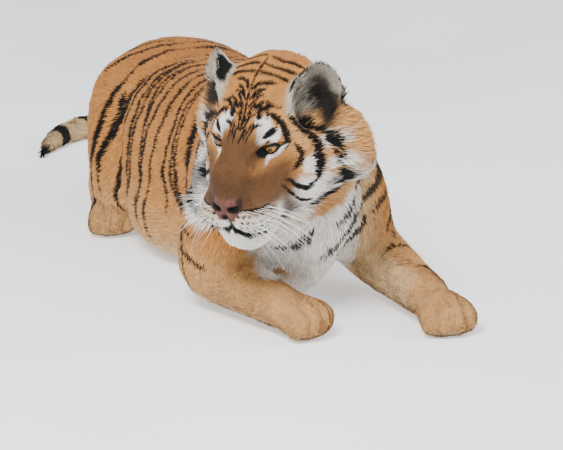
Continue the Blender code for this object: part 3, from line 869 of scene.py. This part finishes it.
def stroke_share(points, samples):
    """How dark the strokes are at each point, with ragged edges."""
    places, widths = zip(*samples)
    tree = point_tree(places)
    found = [tree.find(Vector(p))[1:] for p in points]
    index, distance = np.array([f[0] for f in found]), np.array([f[1] for f in found])
    width = np.array(widths)[index] * (1.0 + 0.22 * noise(points, 0.018, 3) + 0.12 * noise(points, 0.006, 4))
    return 1.0 - step(width * 0.80, width * 1.15 + 0.0006, distance)


def body_colours(p, normals):
    """The trunk, legs and neck: p is in body coordinates."""
    z = p[:, 2]
    colour = mix(ORANGE, DEEP_ORANGE, 0.7 * step(0.28, 0.46, z + 0.03 * noise(p, 0.09, 1)))
    colour = mix(colour, TAN, 0.75 * step(0.22, 0.07, z + 0.02 * noise(p, 0.08, 2)))
    below = step(-0.35, -0.80, normals[:, 2]) * step(0.16, 0.08, z)
    return mix(colour, CREAM, 0.9 * below)


def chest_share(p, h):
    """The pale front of the chest, and the throat under the jaw."""
    beside = np.abs(p[:, 0] - 0.01) + 0.03 * noise(p, 0.05, 6)
    height = p[:, 2] + 0.02 * noise(p, 0.06, 7)
    chest = step(0.02, -0.09, p[:, 1]) * step(0.170, 0.095, beside) * step(0.36, 0.25, height)
    x, y, z = h.T
    throat = step(-0.070, -0.110, z) * step(-0.200, -0.130, y) * step(0.34, 0.27, norm(h))
    beside = np.abs(x) - 0.060 * step(-0.090, -0.140, z) + 0.02 * noise(h, 0.03, 11)
    return np.maximum(chest, throat * step(0.105, 0.060, beside))


def tail_colours(points):
    """Dark rings on a tail that grows paler, and a dark tip."""
    along = tail_frame(points)[0]
    ring = 0.5 + 0.5 * np.sin(2 * np.pi * (along * 8.5 + 0.05 * noise(points, 0.05, 5)))
    rings = step(0.55, 0.72, ring) * step(0.04, 0.16, along)
    return mix(mix(TAN, CREAM, step(0.10, 0.5, along)), BLACK, np.maximum(rings, step(0.93, 0.95, along)))


def face_colours(h):
    """The head without its dark strokes: h is in the head's frame."""
    x, y, z = h.T
    x = np.abs(x)
    ways = unit(h - np.array(HEAD_MIDDLE))
    ragged = 0.004 * noise(h, 0.012, 8) + 0.002 * noise(h, 0.005, 9)

    def away(out, up):
        return norm(ways - np.array(direction(out, up))) * HEAD_REACH

    cheek = step(0.045, 0.085, x) * step(0.03, -0.02, y)
    colour = mix(ORANGE * 0.94, TAN, 0.6 * cheek)
    for out, up, radius, strength in HEAD_PATCHES:
        for side in (1, -1):
            share = step(radius * 1.20, radius * 0.75, away(out * side, up) + ragged)
            colour = mix(colour, WHITE, strength * share)
    turned = np.degrees(np.arctan2(np.abs(ways[:, 0]), ways[:, 1]))
    outer = step(89, 96, turned + 300 * ragged) * step(0.75, 0.55, ways[:, 2])
    colour = mix(colour, 0.5 * (TAN + ORANGE), 0.85 * (outer * step(-0.48, -0.32, ways[:, 2])))
    for side in (1, -1):
        distance = away(JAW_PATCH[0] * side, JAW_PATCH[1]) + 2.0 * ragged
        colour = mix(colour, BLACK * 3.0, 0.72 * step(0.026, 0.013, distance))
    sides = step(0.110, 0.078, x + ragged) * step(-0.020, 0.025, y) * step(-0.008, -0.034, z)
    bridge = step(0.052, 0.036, x + ragged) * step(0.000, 0.045, y) * step(-0.092, -0.074, z)
    colour = mix(mix(colour, BRIDGE, 0.90 * sides), BRIDGE, 0.90 * bridge)
    pads = step(0.045, 0.070, y) * step(-0.070, -0.086, z + 0.30 * (x - 0.04) + ragged)
    return mix(colour, mix(WHITE, TAN, 0.55 * step(-0.102, -0.088, z + ragged)), pads)


def markings(points, normals, shares, samples, tree):
    """Colour of the coat at each point on the skin."""
    p = points - np.array(BODY)
    h = in_head(points)
    x, y = p.T[:2]
    face, ear, tail, arm = shares.T
    colour = body_colours(p, normals)
    colour = mix(colour, WHITE * 0.96, chest_share(p, h) * step(0.9, 0.5, arm))
    inner = step(-0.15, -0.65, normals[:, 0] * np.sign(x)) * step(-0.02, -0.12, y) * (x > 0)
    ahead = 0.75 * step(0.15, 0.75, -normals[:, 1]) * step(0.20, 0.13, np.abs(x)) * (x > 0)
    colour = mix(colour, CREAM, arm * np.maximum(0.8 * inner, ahead) * step(-0.33, -0.27, y))
    colour = mix(colour, tail_colours(points), tail)
    colour = mix(colour, face_colours(h), step(0.25, 0.75, face))
    clear = (h[:, 1] > 0.05) & (np.abs(h[:, 0]) < 0.05) & (face > 0.5)
    dark = stroke_share(points, samples) * np.where(clear, 0.0, 1.0) * (1.0 - tail)
    soft = step(-0.02, -0.12, y) * (1.0 - step(0.3, 0.7, face))
    colour = mix(colour, BLACK, dark * (1.0 - 0.06 * soft))
    colour = colour * (1.0 + 0.10 * noise(points, 0.014, 31) + 0.07 * noise(points, 0.005, 32))[:, None]
    # painted shade: the floor of each ear's cup and the ear's roots are painted near-black, with grey hair
    # on the cup's inner side
    inner_side = step(0.004, -0.026, ear_side(h) + 0.020 * noise(points, 0.0016, 19))
    cup = mix(BLACK * 2.0, GREY_HAIR, 0.04 + 0.80 * inner_side)
    colour = mix(colour, cup, np.maximum(cup_share(h), step(0.06, 0.30, ear)))
    colour = mix(colour, ear_colours(normals, h), step(0.35, 0.65, ear))
    return face_skin(points, colour, h, tree)


def ear_frame(side):
    """Ear frame: z along the ear, y out of its opening. side is 1 on the tiger's right."""
    place = HEAD.inverted() @ centre("ear_right" if side > 0 else "ear_left")
    lean = turn_by(EAR_BACK, "X") @ turn_by(EAR_SPREAD * side, "Y")
    root = Matrix.Translation((0.0, 0.0, -0.5 * EAR_HEIGHT))
    return Matrix.Translation(place) @ lean @ turn_by(-EAR_TURN * side, "Z") @ root


def in_ear(h, side):
    return transformed(h, ear_frame(side).inverted())


def ear_side(h):
    """How far out from the middle of its ear a point is, towards the outer edge."""
    return np.where(h[:, 0] > 0, in_ear(h, 1)[:, 0], -in_ear(h, -1)[:, 0])


def in_cup(q, middle, rim, low, high):
    """1 inside an ear's cup, for points in the ear's frame; rim, low and high are steps."""
    off = np.hypot(q[:, 0], q[:, 1] - middle * EAR_RADIUS) / EAR_RADIUS
    return step(*rim, off) * step(*low, q[:, 2]) * step(*high, q[:, 2])


def cup_share(h):
    """1 on the floor of each ear's cup."""
    cup = (0.45, (0.94, 0.76), (-0.016, -0.002), (0.085, 0.070))
    return np.maximum(in_cup(in_ear(h, 1), *cup), in_cup(in_ear(h, -1), *cup))


def sculpt_ears(points):
    """Push the floor of each cup down into a hollow."""
    h = in_head(points)
    for side in (1, -1):
        q = in_ear(h, side)
        deep = in_cup(q, 0.50, (0.95, 0.45), (-0.020, 0.005), (0.075, 0.055))
        q[:, 2] -= 0.026 * deep
        q[:, 1] -= 0.012 * deep
        h = np.where((deep > 0.0)[:, None], transformed(q, ear_frame(side)), h)
    return transformed(h, HEAD)


def ear_colours(normals, h):
    """Black with a white spot outside, and grey hair inside round a hollow painted dark as shade."""
    colours = np.zeros((len(h), 3))
    head_normals = transformed(normals, HEAD.to_3x3().inverted().to_4x4())
    ragged = 0.006 * noise(h, 0.009, 14)
    for side in (1, -1):
        x, y, z = in_ear(h, side).T
        n = transformed(head_normals, ear_frame(side).inverted().to_3x3().to_4x4())
        inside = step(-0.05, 0.35, unit(n)[:, 1] + 0.25 * y / EAR_RADIUS)
        beside = x + ragged
        back = mix(BLACK, WHITE, step(0.024, 0.015, np.hypot(beside, (z - 0.066) * 0.9)))
        # painted shade: the hollow at the ear's opening is painted near-black
        hollow = step(0.034, 0.018, np.hypot(beside - 0.010 * side, (z - 0.020) * 0.65))
        front = mix(GREY_HAIR, BLACK * 1.6, 0.85 * hollow)
        front = mix(front, BLACK, step(0.90, 1.02, z / EAR_HEIGHT + 4.0 * ragged))
        rows = np.sign(h[:, 0]) == side
        colours[rows] = mix(back, front, inside)[rows]
    return colours


NOSTRIL = (0.0165, 0.128, -0.070)
PAD_MIDDLE = (0.030, 0.070, -0.098)
# rows of whisker roots: degrees up, then degrees out of the first and of the last root
WHISKER_ROWS = ((24, 4, 60), (13, -4, 72), (2, 2, 80), (-9, -4, 84), (-20, 6, 80))


def spot_places(tree, side):
    """Rows of whisker roots on the pad of the muzzle, in the head's frame."""
    places = []
    origin = HEAD @ Vector((PAD_MIDDLE[0] * side, *PAD_MIDDLE[1:]))
    for up, first, last in WHISKER_ROWS:
        for k in range(8):
            out = first + (last - first) * k / 7
            place = tree.ray_cast(origin, HEAD.to_3x3() @ direction(out * side, up))[0]
            if place is not None:
                places.append(HEAD.inverted() @ place)
    return places


def face_skin(points, colour, h, tree):
    """The whisker spots, the bare nose, lips and lid rims, and painted shade in the nostrils."""
    x, y, z = h.T
    x = np.abs(x)
    nearest = point_tree([place for side in (1, -1) for place in spot_places(tree, side)])
    close = norm(h - (0.0, 0.10, -0.10)) < 0.09
    distance = np.full(len(h), 1.0)
    distance[close] = [nearest.find(Vector(p))[2] for p in h[close]]
    colour = mix(colour, BLACK, step(0.0040, 0.0029, distance + 0.0006 * noise(h, 0.003, 17)))
    pad = mix(NOSE_PINK, BLACK * 2.5, 0.25 + 0.25 * noise(points, 0.009, 12))
    colour = mix(colour, pad, pad_share(h))
    cleft = step(0.0030, 0.0018, x) * step(-0.088, -0.092, z) * step(-0.122, -0.118, z)
    colour = mix(colour, LIP, cleft * (y > 0.10))
    colour = mix(colour, BLACK * 2.0, 0.8 * (step(0.020, 0.027, x) * pad_share(h)))
    mouth = mouth_distance(points, tree)
    colour = mix(colour, LIP, step(0.0074, 0.0040, mouth + 0.0022 * noise(h, 0.005, 15)))
    for side in (1, -1):
        # painted shade: each nostril's opening is painted darker than black
        q = (h - (NOSTRIL[0] * side, *NOSTRIL[1:])) / (0.0110, 0.030, 0.0074)
        colour = mix(colour, BLACK * 0.4, step(1.25, 0.8, norm(q)))
        p, outside = in_eye(points, side)
        inwards, above = -side * p[:, 0], p[:, 2]
        near = (np.hypot(p[:, 0], above) < 0.045) & (p[:, 1] > 0.0)
        corner = step(0.006, 0.017, inwards) * step(0.008, 0.000, above)
        rim = 0.0020 + 0.0045 * corner + 0.0010 * (above > 0)
        crescent = near * step(rim + 0.0070, rim + 0.0045, outside) * step(0.003, -0.001, above)
        colour = mix(colour, WHITE, crescent * step(0.018, 0.010, inwards))
        colour = mix(colour, LIP, near * step(rim + 0.0012, rim, outside))
    return colour


def pad_share(h):
    """The bare pad of the nose, wide above and narrow below."""
    x, y, z = h.T
    width = 0.018 + 0.016 * step(-0.094, -0.066, z)
    across = step(0.108, 0.114, y) * step(width + 0.002, width - 0.002, np.abs(x))
    return across * step(-0.048, -0.053, z) * step(-0.098, -0.094, z)


def bare_share(points, tree):
    """1 where no hair grows: the nose pad, the line of the lips and the eyes."""
    bare = np.maximum(pad_share(in_head(points)), step(0.0040, 0.0024, mouth_distance(points, tree)))
    for side in (1, -1):
        p, outside = in_eye(points, side)
        near = (np.hypot(p[:, 0], p[:, 2]) < 0.04) & (p[:, 1] > -0.01)
        bare = np.maximum(bare, near * step(0.0036, 0.0024, outside))
    return bare


# ---- materials -----------------------------------------------------------------------
def new_material(name, inputs):
    """A material with the shader's inputs set, and the nodes, links and shader in it."""
    material = bpy.data.materials.new(name)
    material.use_nodes = True
    nodes = material.node_tree.nodes
    shader = nodes["Principled BSDF"]
    for key, value in inputs.items():
        shader.inputs[key].default_value = value
    return material, nodes, material.node_tree.links, shader


def painted_colour(nodes):
    colour = nodes.new("ShaderNodeVertexColor")
    colour.layer_name = "coat"
    return colour.outputs["Color"]


def noise_node(nodes, scale):
    grain = nodes.new("ShaderNodeTexNoise")
    grain.inputs["Scale"].default_value = scale
    return grain


def fur_material(name, roughness, bump_size, bump_depth):
    """The mesh's colours, broken up finely, with a fine bump like hair."""
    material, nodes, links, shader = new_material(name, {
        "Roughness": roughness, "Specular IOR Level": 0.16, "Sheen Weight": 0.04, "Sheen Roughness": 0.5})
    grain = noise_node(nodes, 1.0 / bump_size)
    grain.inputs["Detail"].default_value = 3.0
    brightness = nodes.new("ShaderNodeMapRange")
    brightness.inputs["To Min"].default_value = 0.86
    brightness.inputs["To Max"].default_value = 1.14
    scale = nodes.new("ShaderNodeVectorMath")
    scale.operation = "SCALE"
    hair = nodes.new("ShaderNodeBump")
    hair.inputs["Distance"].default_value = bump_depth
    hair.inputs["Strength"].default_value = 0.5
    links.new(grain.outputs["Fac"], brightness.inputs["Value"])
    links.new(painted_colour(nodes), scale.inputs[0])
    links.new(brightness.outputs["Result"], scale.inputs["Scale"])
    links.new(scale.outputs["Vector"], shader.inputs["Base Color"])
    links.new(grain.outputs["Fac"], hair.inputs["Height"])
    links.new(hair.outputs["Normal"], shader.inputs["Normal"])
    return material


def plain_material(name, colour, inputs):
    """One colour, slightly uneven."""
    material, nodes, links, shader = new_material(name, inputs)
    ramp = nodes.new("ShaderNodeValToRGB")
    ramp.color_ramp.elements[0].color = (*(colour * 0.85), 1.0)
    ramp.color_ramp.elements[1].color = (*np.minimum(colour * 1.12, 1.0), 1.0)
    links.new(noise_node(nodes, 60.0).outputs["Fac"], ramp.inputs["Fac"])
    links.new(ramp.outputs["Color"], shader.inputs["Base Color"])
    return material


def paint(mesh, colours):
    """Keep a colour on each vertex of a mesh."""
    layer = mesh.color_attributes.new("coat", "FLOAT_COLOR", "POINT")
    values = np.ones((len(colours), 4), np.float32)
    values[:, :3] = colours
    layer.data.foreach_set("color", values.ravel())
    mesh.color_attributes.active_color = layer


# ---- tufts ---------------------------------------------------------------------------
# along a tuft: share of the length, share of the width
LONG_TUFT = ((0.0, 0.75), (0.36, 1.0), (0.70, 0.62), (1.0, 0.0))
SHORT_TUFT = ((0.0, 0.85), (0.5, 0.95), (1.0, 0.0))
LONG_FROM = 0.024            # tufts of at least this mean length get the longer shape
PATCH = 0.003                # size of a tuft on the OFBake map
ABOVE_FLOOR = 0.0012         # no tuft is lower than this
BARE_BELOW = 0.004           # and none has its root below this, where the skin rests on the floor
CROWN_FROM = -0.055          # y in the head's frame behind which the coat counts as the crown's


def plant(triangles, points, density):
    """Root places: the triangle of each tuft, and its three shares of the corners."""
    a, b, c = (points[triangles[:, k]] for k in range(3))
    area = 0.5 * norm(np.cross(b - a, c - a))
    wanted = np.cumsum(area * density[triangles].mean(axis=1))
    spots = np.arange(0.5, wanted[-1])
    spots = np.sort(spots + rng.uniform(-0.5, 0.5, len(spots)))
    owner = np.clip(np.searchsorted(wanted, spots), 0, len(triangles) - 1)
    u, v = rng.random(len(owner)), rng.random(len(owner))
    over = u + v > 1.0
    u[over], v[over] = 1.0 - u[over], 1.0 - v[over]
    return owner, np.stack([1.0 - u - v, u, v], axis=1)


def tuft_mesh(name, roots, normals, ways, colours, lengths, widths, rises, group_uv):
    """A joined mesh of flat tapering tufts that lie along the body and lift towards their tips."""
    count = len(roots)
    ways = unit(ways - normals * np.sum(ways * normals, axis=1, keepdims=True))
    swirl = 0.26 * noise(roots, 0.035, 21) + 0.16 * noise(roots, 0.010, 22) + rng.normal(0, 0.11, count)
    ways = unit(ways * np.cos(swirl)[:, None] + np.cross(normals, ways) * np.sin(swirl)[:, None])
    across = np.cross(normals, ways)
    roll = rng.normal(0, 0.35, count)[:, None]
    flat = unit(across * np.cos(roll) + normals * np.sin(roll))
    lengths = lengths * (1.0 + 0.25 * noise(roots, 0.02, 23) + rng.normal(0, 0.14, count))
    lengths = np.clip(lengths, 0.003, None)
    rises = rises * (1.0 + 0.45 * noise(roots, 0.018, 24) + rng.normal(0, 0.22, count))
    bend = rng.normal(0, 0.12, count)
    widths = widths * rng.uniform(0.7, 1.25, count)
    rows, uvs, shades = [], [], []
    for t, share in (LONG_TUFT if lengths.mean() > LONG_FROM else SHORT_TUFT):
        height = rises * (1.25 * t - 0.25 * t * t)
        middle = (roots - normals * 0.0006 + ways * (lengths * t)[:, None]
                  + normals * (lengths * height)[:, None] + across * (lengths * bend * t * t)[:, None])
        for side in ((-0.5, 0.5) if share else (0.0,)):
            rows.append(middle + flat * (widths * share * side)[:, None])
            uvs.append((side * max(share, 0.2), t - 0.5))
            # painted shade and light: each tuft is darker at its root, shaded by the tufts over it, and
            # brighter towards its tip
            shades.append(0.62 + 0.52 * t)
    corners = len(rows)
    verts = np.stack(rows, axis=1).reshape(-1, 3)
    verts[:, 2] = np.maximum(verts[:, 2], ABOVE_FLOOR)
    faces = []
    for k in range(0, corners - 3, 2):
        faces += [(k, k + 1, k + 3), (k, k + 3, k + 2)]
    faces = np.array(faces + [(corners - 3, corners - 2, corners - 1)])
    faces = (np.arange(count)[:, None, None] * corners + faces[None]).reshape(-1, 3)
    mesh = bpy.data.meshes.new(name)
    mesh.vertices.add(len(verts))
    move_vertices(mesh, verts)
    mesh.loops.add(faces.size)
    mesh.loops.foreach_set("vertex_index", faces.astype(np.int32).ravel())
    mesh.polygons.add(len(faces))
    mesh.polygons.foreach_set("loop_start", np.arange(0, faces.size, 3, dtype=np.int32))
    mesh.polygons.foreach_set("use_smooth", np.ones(len(faces), bool))
    mesh.update()
    tone = (1.0 + rng.normal(0, 0.11, count))[:, None]
    # each tuft's colour varies at random, then is darkened at the root and lightened at the tip as painted
    # shade and light
    shade = np.array(shades)[None, :, None]
    paint(mesh, np.clip((colours * tone)[:, None, :] * shade, 0, 1).reshape(-1, 3))
    places = group_uv[:, None, :] * (1.0 - 2 * PATCH) + PATCH + np.array(uvs)[None] * PATCH
    places = places.reshape(-1, 2)[faces.ravel()]
    mesh.uv_layers.new(name="OFBake").data.foreach_set("uv", places.astype(np.float32).ravel())
    return new_object(name, mesh)


def unwrap(roots):
    """Unroll a part's skin round its own long axis: the angle round it, and the way along it."""
    middle = roots.mean(axis=0)
    spread_out = np.linalg.svd((roots - middle)[:: max(1, len(roots) // 4000)], full_matrices=False)[2]
    along = (roots - middle) @ spread_out[0]
    angle = np.arctan2((roots - middle) @ spread_out[1], (roots - middle) @ spread_out[2])
    along = (along - along.min()) / (along.max() - along.min())
    return np.stack([angle / (2 * np.pi) + 0.5, along], axis=1)


# ---- building it ---------------------------------------------------------------------
def grow_ruff(points, values):
    """Longer hair round the cheeks, under the jaw and in the ears, and shorter on chin and muzzle."""
    h = in_head(points)
    x, y, z = h.T
    reach = norm(h)
    side = step(0.070, 0.115, np.abs(x)) * step(0.02, -0.05, y) * step(0.06, 0.0, z)
    under = step(-0.125, -0.175, z) * step(0.06, 0.0, y)
    chin = step(0.02, 0.06, y) * step(-0.122, -0.145, z) * (reach < 0.24)
    muzzle = step(0.03, 0.075, y) * (reach < 0.24) * step(-0.142, -0.124, z)
    values = mix(values, RUFF_COAT, np.maximum(side, under) * (reach < 0.30))
    values = mix(values, CHIN_COAT, chin)
    values = mix(values, CUP_COAT, cup_share(h))
    return mix(values, MUZZLE_COAT, muzzle)


def make_skin():
    skin = base_skin()
    points = vertex_array(skin.data)
    triangles = triangle_array(skin.data)
    nodes = nearest_nodes(points)
    table = {node: PARTS[part_of(node)][0] for node in FLESH}
    values = np.array([table[node] for node in nodes])
    values = grow_ruff(points, values)
    values = spread(values, triangles, 10)
    ways = spread(lie_of(points, nodes), triangles, 14)
    normals = normals_of(points, triangles)
    points = points - normals * (values[:, 3] + JOIN_GROWTH)[:, None]
    points[:, 2] = np.maximum(points[:, 2], SKIN_ABOVE_FLOOR)
    points = sculpt(points, triangles)
    move_vertices(skin.data, points)
    skin.data.update()
    skin.data.shade_smooth()
    return skin, points, triangles, nodes, values, unit(ways)


def make_coat(points, triangles, nodes, values, ways, shares, samples, tree, material):
    normals = normals_of(points, triangles)
    density = values[:, 4] * (1.0 - bare_share(points, tree))
    density = density * np.where(points[:, 2] < BARE_BELOW, 0.0, 1.0)
    owner, weights = plant(triangles, points, density)
    corners = triangles[owner]

    def at_roots(array):
        return np.sum(array[corners] * weights[:, :, None], axis=1)

    roots, root_normals, root_ways = at_roots(points), unit(at_roots(normals)), at_roots(ways)
    root_values = at_roots(values)
    root_colours = markings(roots, root_normals, at_roots(shares), samples, tree)
    root_nodes = nodes[corners[:, 0]].astype("<U24")
    on_head = np.isin(root_nodes, ("head", "lower_jaw", "nose"))
    behind = in_head(roots)[:, 1] < CROWN_FROM
    root_nodes[on_head] = np.where(behind[on_head], "crown", "face")
    pieces = []
    for name, members in COAT_GROUPS.items():
        rows = np.isin(root_nodes, members)
        piece = tuft_mesh(name, roots[rows], root_normals[rows], root_ways[rows], root_colours[rows],
                          *root_values[rows, :3].T, unwrap(roots[rows]))
        piece.data.materials.append(material)
        pieces.append(piece)
    return pieces


CORNEA_RISE = 0.0016         # the front of the eye stands this far out of the ball


def make_eye(side, material):
    """A ball with a raised front, the iris and pupil painted on it, and the upper lid's shadow painted over
    its top.
    """
    name = "eyeball_right" if side > 0 else "eyeball_left"
    mesh = edited(bpy.data.meshes.new(name), lambda bm: bmesh.ops.create_uvsphere(
        bm, u_segments=64, v_segments=48, radius=EYE_RADIUS, matrix=turn_by(-90, "X")))
    mesh.shade_smooth()
    points = vertex_array(mesh)
    angle = np.degrees(np.arccos(np.clip(points[:, 1] / EYE_RADIUS, -1, 1)))     # from the pupil's middle
    around = np.arctan2(points[:, 2], points[:, 0])
    points[:, 1] += CORNEA_RISE * step(44.0, 10.0, angle)
    move_vertices(mesh, points)
    streak = 0.5 + 0.5 * np.sin(around * 37 + 3.0 * np.sin(around * 11))
    colour = mix(srgb(158, 104, 38), srgb(104, 62, 20), streak * 0.6)
    colour = mix(colour, srgb(196, 146, 66), step(20, 13, angle) * 0.5)
    for ring, start, full in (((40, 24, 14), 37, 40), ((70, 52, 42), 41, 46), ((4, 4, 5), 17.0, 14.5)):
        colour = mix(colour, srgb(*ring), step(start, full, angle))
    # painted shadow of the upper lid: the top of the eye is darkened
    colour = colour * (1.0 - 0.65 * step(0.002, 0.009, points[:, 2]))[:, None]
    paint(mesh, colour)
    mesh.transform(eye_matrix(side))
    mesh.materials.append(material)
    return new_object(name, mesh)


def eye_material():
    material, nodes, links, shader = new_material("wet_eye", {
        "Roughness": 0.12, "Specular IOR Level": 0.3, "Coat Weight": 0.45, "Coat Roughness": 0.02})
    links.new(painted_colour(nodes), shader.inputs["Base Color"])
    return material


WHISKER_PROUD = 0.020        # the whiskers end at most this far outside the solids
WHISKER_RADIUS = 0.0006
FIRST_WHISKER = 0.026        # roots nearer to the middle than this have only a spot


def make_whiskers(tree, material):
    """Long tapering whiskers from the rows of spots on each side of the muzzle."""
    draw = np.random.default_rng(5)
    verts, faces = [], []
    sides, rings = 4, 7
    for side in (1, -1):
        for x, y, z in spot_places(tree, side):
            out = abs(x) - FIRST_WHISKER
            if out < 0.0 or draw.random() < 0.15:
                continue
            place = HEAD @ Vector((x, y, z))
            length = draw.uniform(0.05, 0.085) + 0.9 * out
            low = (-0.084 - z) / 0.032
            down = -0.25 - 0.50 * low + draw.uniform(-0.12, 0.12)
            way = (HEAD.to_3x3() @ Vector((side * 0.85, 0.10 - 9.0 * out, down))).normalized()
            droop = Vector((0.0, 0.0, -1.0)) * draw.uniform(0.15, 0.40)
            room = place.x - cad_bounds[0][0] + WHISKER_PROUD
            if way.x < 0.0:
                length = min(length, draw.uniform(0.75, 1.0) * room / -way.x)
            first = len(verts)
            across = way.cross(Vector((0, 0, 1))).normalized()
            up = across.cross(way)
            for i in range(rings):
                t = i / (rings - 1)
                middle = place + way * (length * t) + droop * (length * t * t)
                radius = WHISKER_RADIUS * (1.0 - 0.85 * t)
                for j in range(sides):
                    angle = 2 * math.pi * j / sides
                    verts.append(middle + (across * math.cos(angle) + up * math.sin(angle)) * radius)
            for i in range(first, first + (rings - 1) * sides, sides):
                for j in range(sides):
                    n = (j + 1) % sides
                    faces.append((i + j, i + n, i + sides + n, i + sides + j))
            faces.append(tuple(first + j for j in reversed(range(sides))))
            faces.append(tuple(first + (rings - 1) * sides + j for j in range(sides)))
    mesh = bpy.data.meshes.new("whiskers")
    mesh.from_pydata([tuple(v) for v in verts], [], faces)
    mesh.shade_smooth()
    mesh.materials.append(material)
    return new_object("whiskers", mesh)


# ---- stage, light and camera ---------------------------------------------------------
AZIMUTH, ELEVATION = -18.0, 15.0
DISTANCE = 7.35
LENS = 223.8                 # mm, on a sensor 36 mm wide
SKY = (0.95, 0.97, 1.0, 1.0)
AIM = Vector((-0.068, -0.209, 0.220))


def make_camera():
    back = body_direction(AZIMUTH, ELEVATION)
    data = bpy.data.cameras.new("camera")
    data.sensor_width = 36.0
    data.lens = LENS
    camera = new_object("camera", data)
    camera.location = AIM + BODY + back * DISTANCE
    camera.rotation_euler = (-back).to_track_quat("-Z", "Y").to_euler()
    bpy.context.scene.camera = camera


def make_light(name, place, size, power):
    data = bpy.data.lights.new(name, "AREA")
    data.size = size
    data.energy = power
    light = new_object(name, data)
    light.location = place
    light.rotation_euler = (Vector((0, 0, 0.2)) - Vector(place)).to_track_quat("-Z", "Y").to_euler()


def make_stage():
    mesh = edited(bpy.data.meshes.new("floor"), lambda bm: bmesh.ops.create_grid(
        bm, x_segments=2, y_segments=2, size=30.0))
    mesh.materials.append(plain_material("pale_floor", np.array((0.86, 0.87, 0.88)), {
        "Roughness": 0.9, "Emission Color": SKY, "Emission Strength": 0.50}))
    floor = new_object("floor", mesh)
    world = bpy.data.worlds.new("studio")
    world.use_nodes = True
    background = world.node_tree.nodes["Background"]
    background.inputs["Color"].default_value = SKY
    background.inputs["Strength"].default_value = 0.86
    bpy.context.scene.world = world
    make_light("key", (-2.5, -4.0, 4.5), 2.0, 560.0)
    make_light("fill", (4.0, -2.5, 3.0), 3.0, 120.0)


def main():
    make_camera()
    make_stage()
    skin, points, triangles, nodes, values, ways = make_skin()
    tree = skin_tree(points, triangles)
    samples = all_strokes(tree)
    shares = soft_groups(nodes, triangles)
    colours = markings(points, normals_of(points, triangles), shares, samples, tree)
    # the skin between the tufts is painted darker by SKIN_SHADE, as painted shade
    paint(skin.data, np.clip(colours * SKIN_SHADE, 0, 1))
    skin.data.materials.clear()
    skin.data.materials.append(fur_material("skin_fur", 0.8, 0.004, 0.0008))
    coat = fur_material("coat_fur", 0.72, 0.003, 0.0004)
    pieces = make_coat(points, triangles, nodes, values, ways, shares, samples, tree, coat)
    wet = eye_material()
    eyes = [make_eye(side, wet) for side in (1, -1)]
    whiskers = make_whiskers(tree, plain_material("whisker_white", WHITE, {"Roughness": 0.4}))
    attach(skin, "root")
    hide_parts(*FLESH)
    for piece in pieces:
        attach(piece, "root")
    for eye in eyes:
        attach(eye, "root")
        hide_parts(eye.name.replace("eyeball", "eye"))
    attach(whiskers, "root")


main()
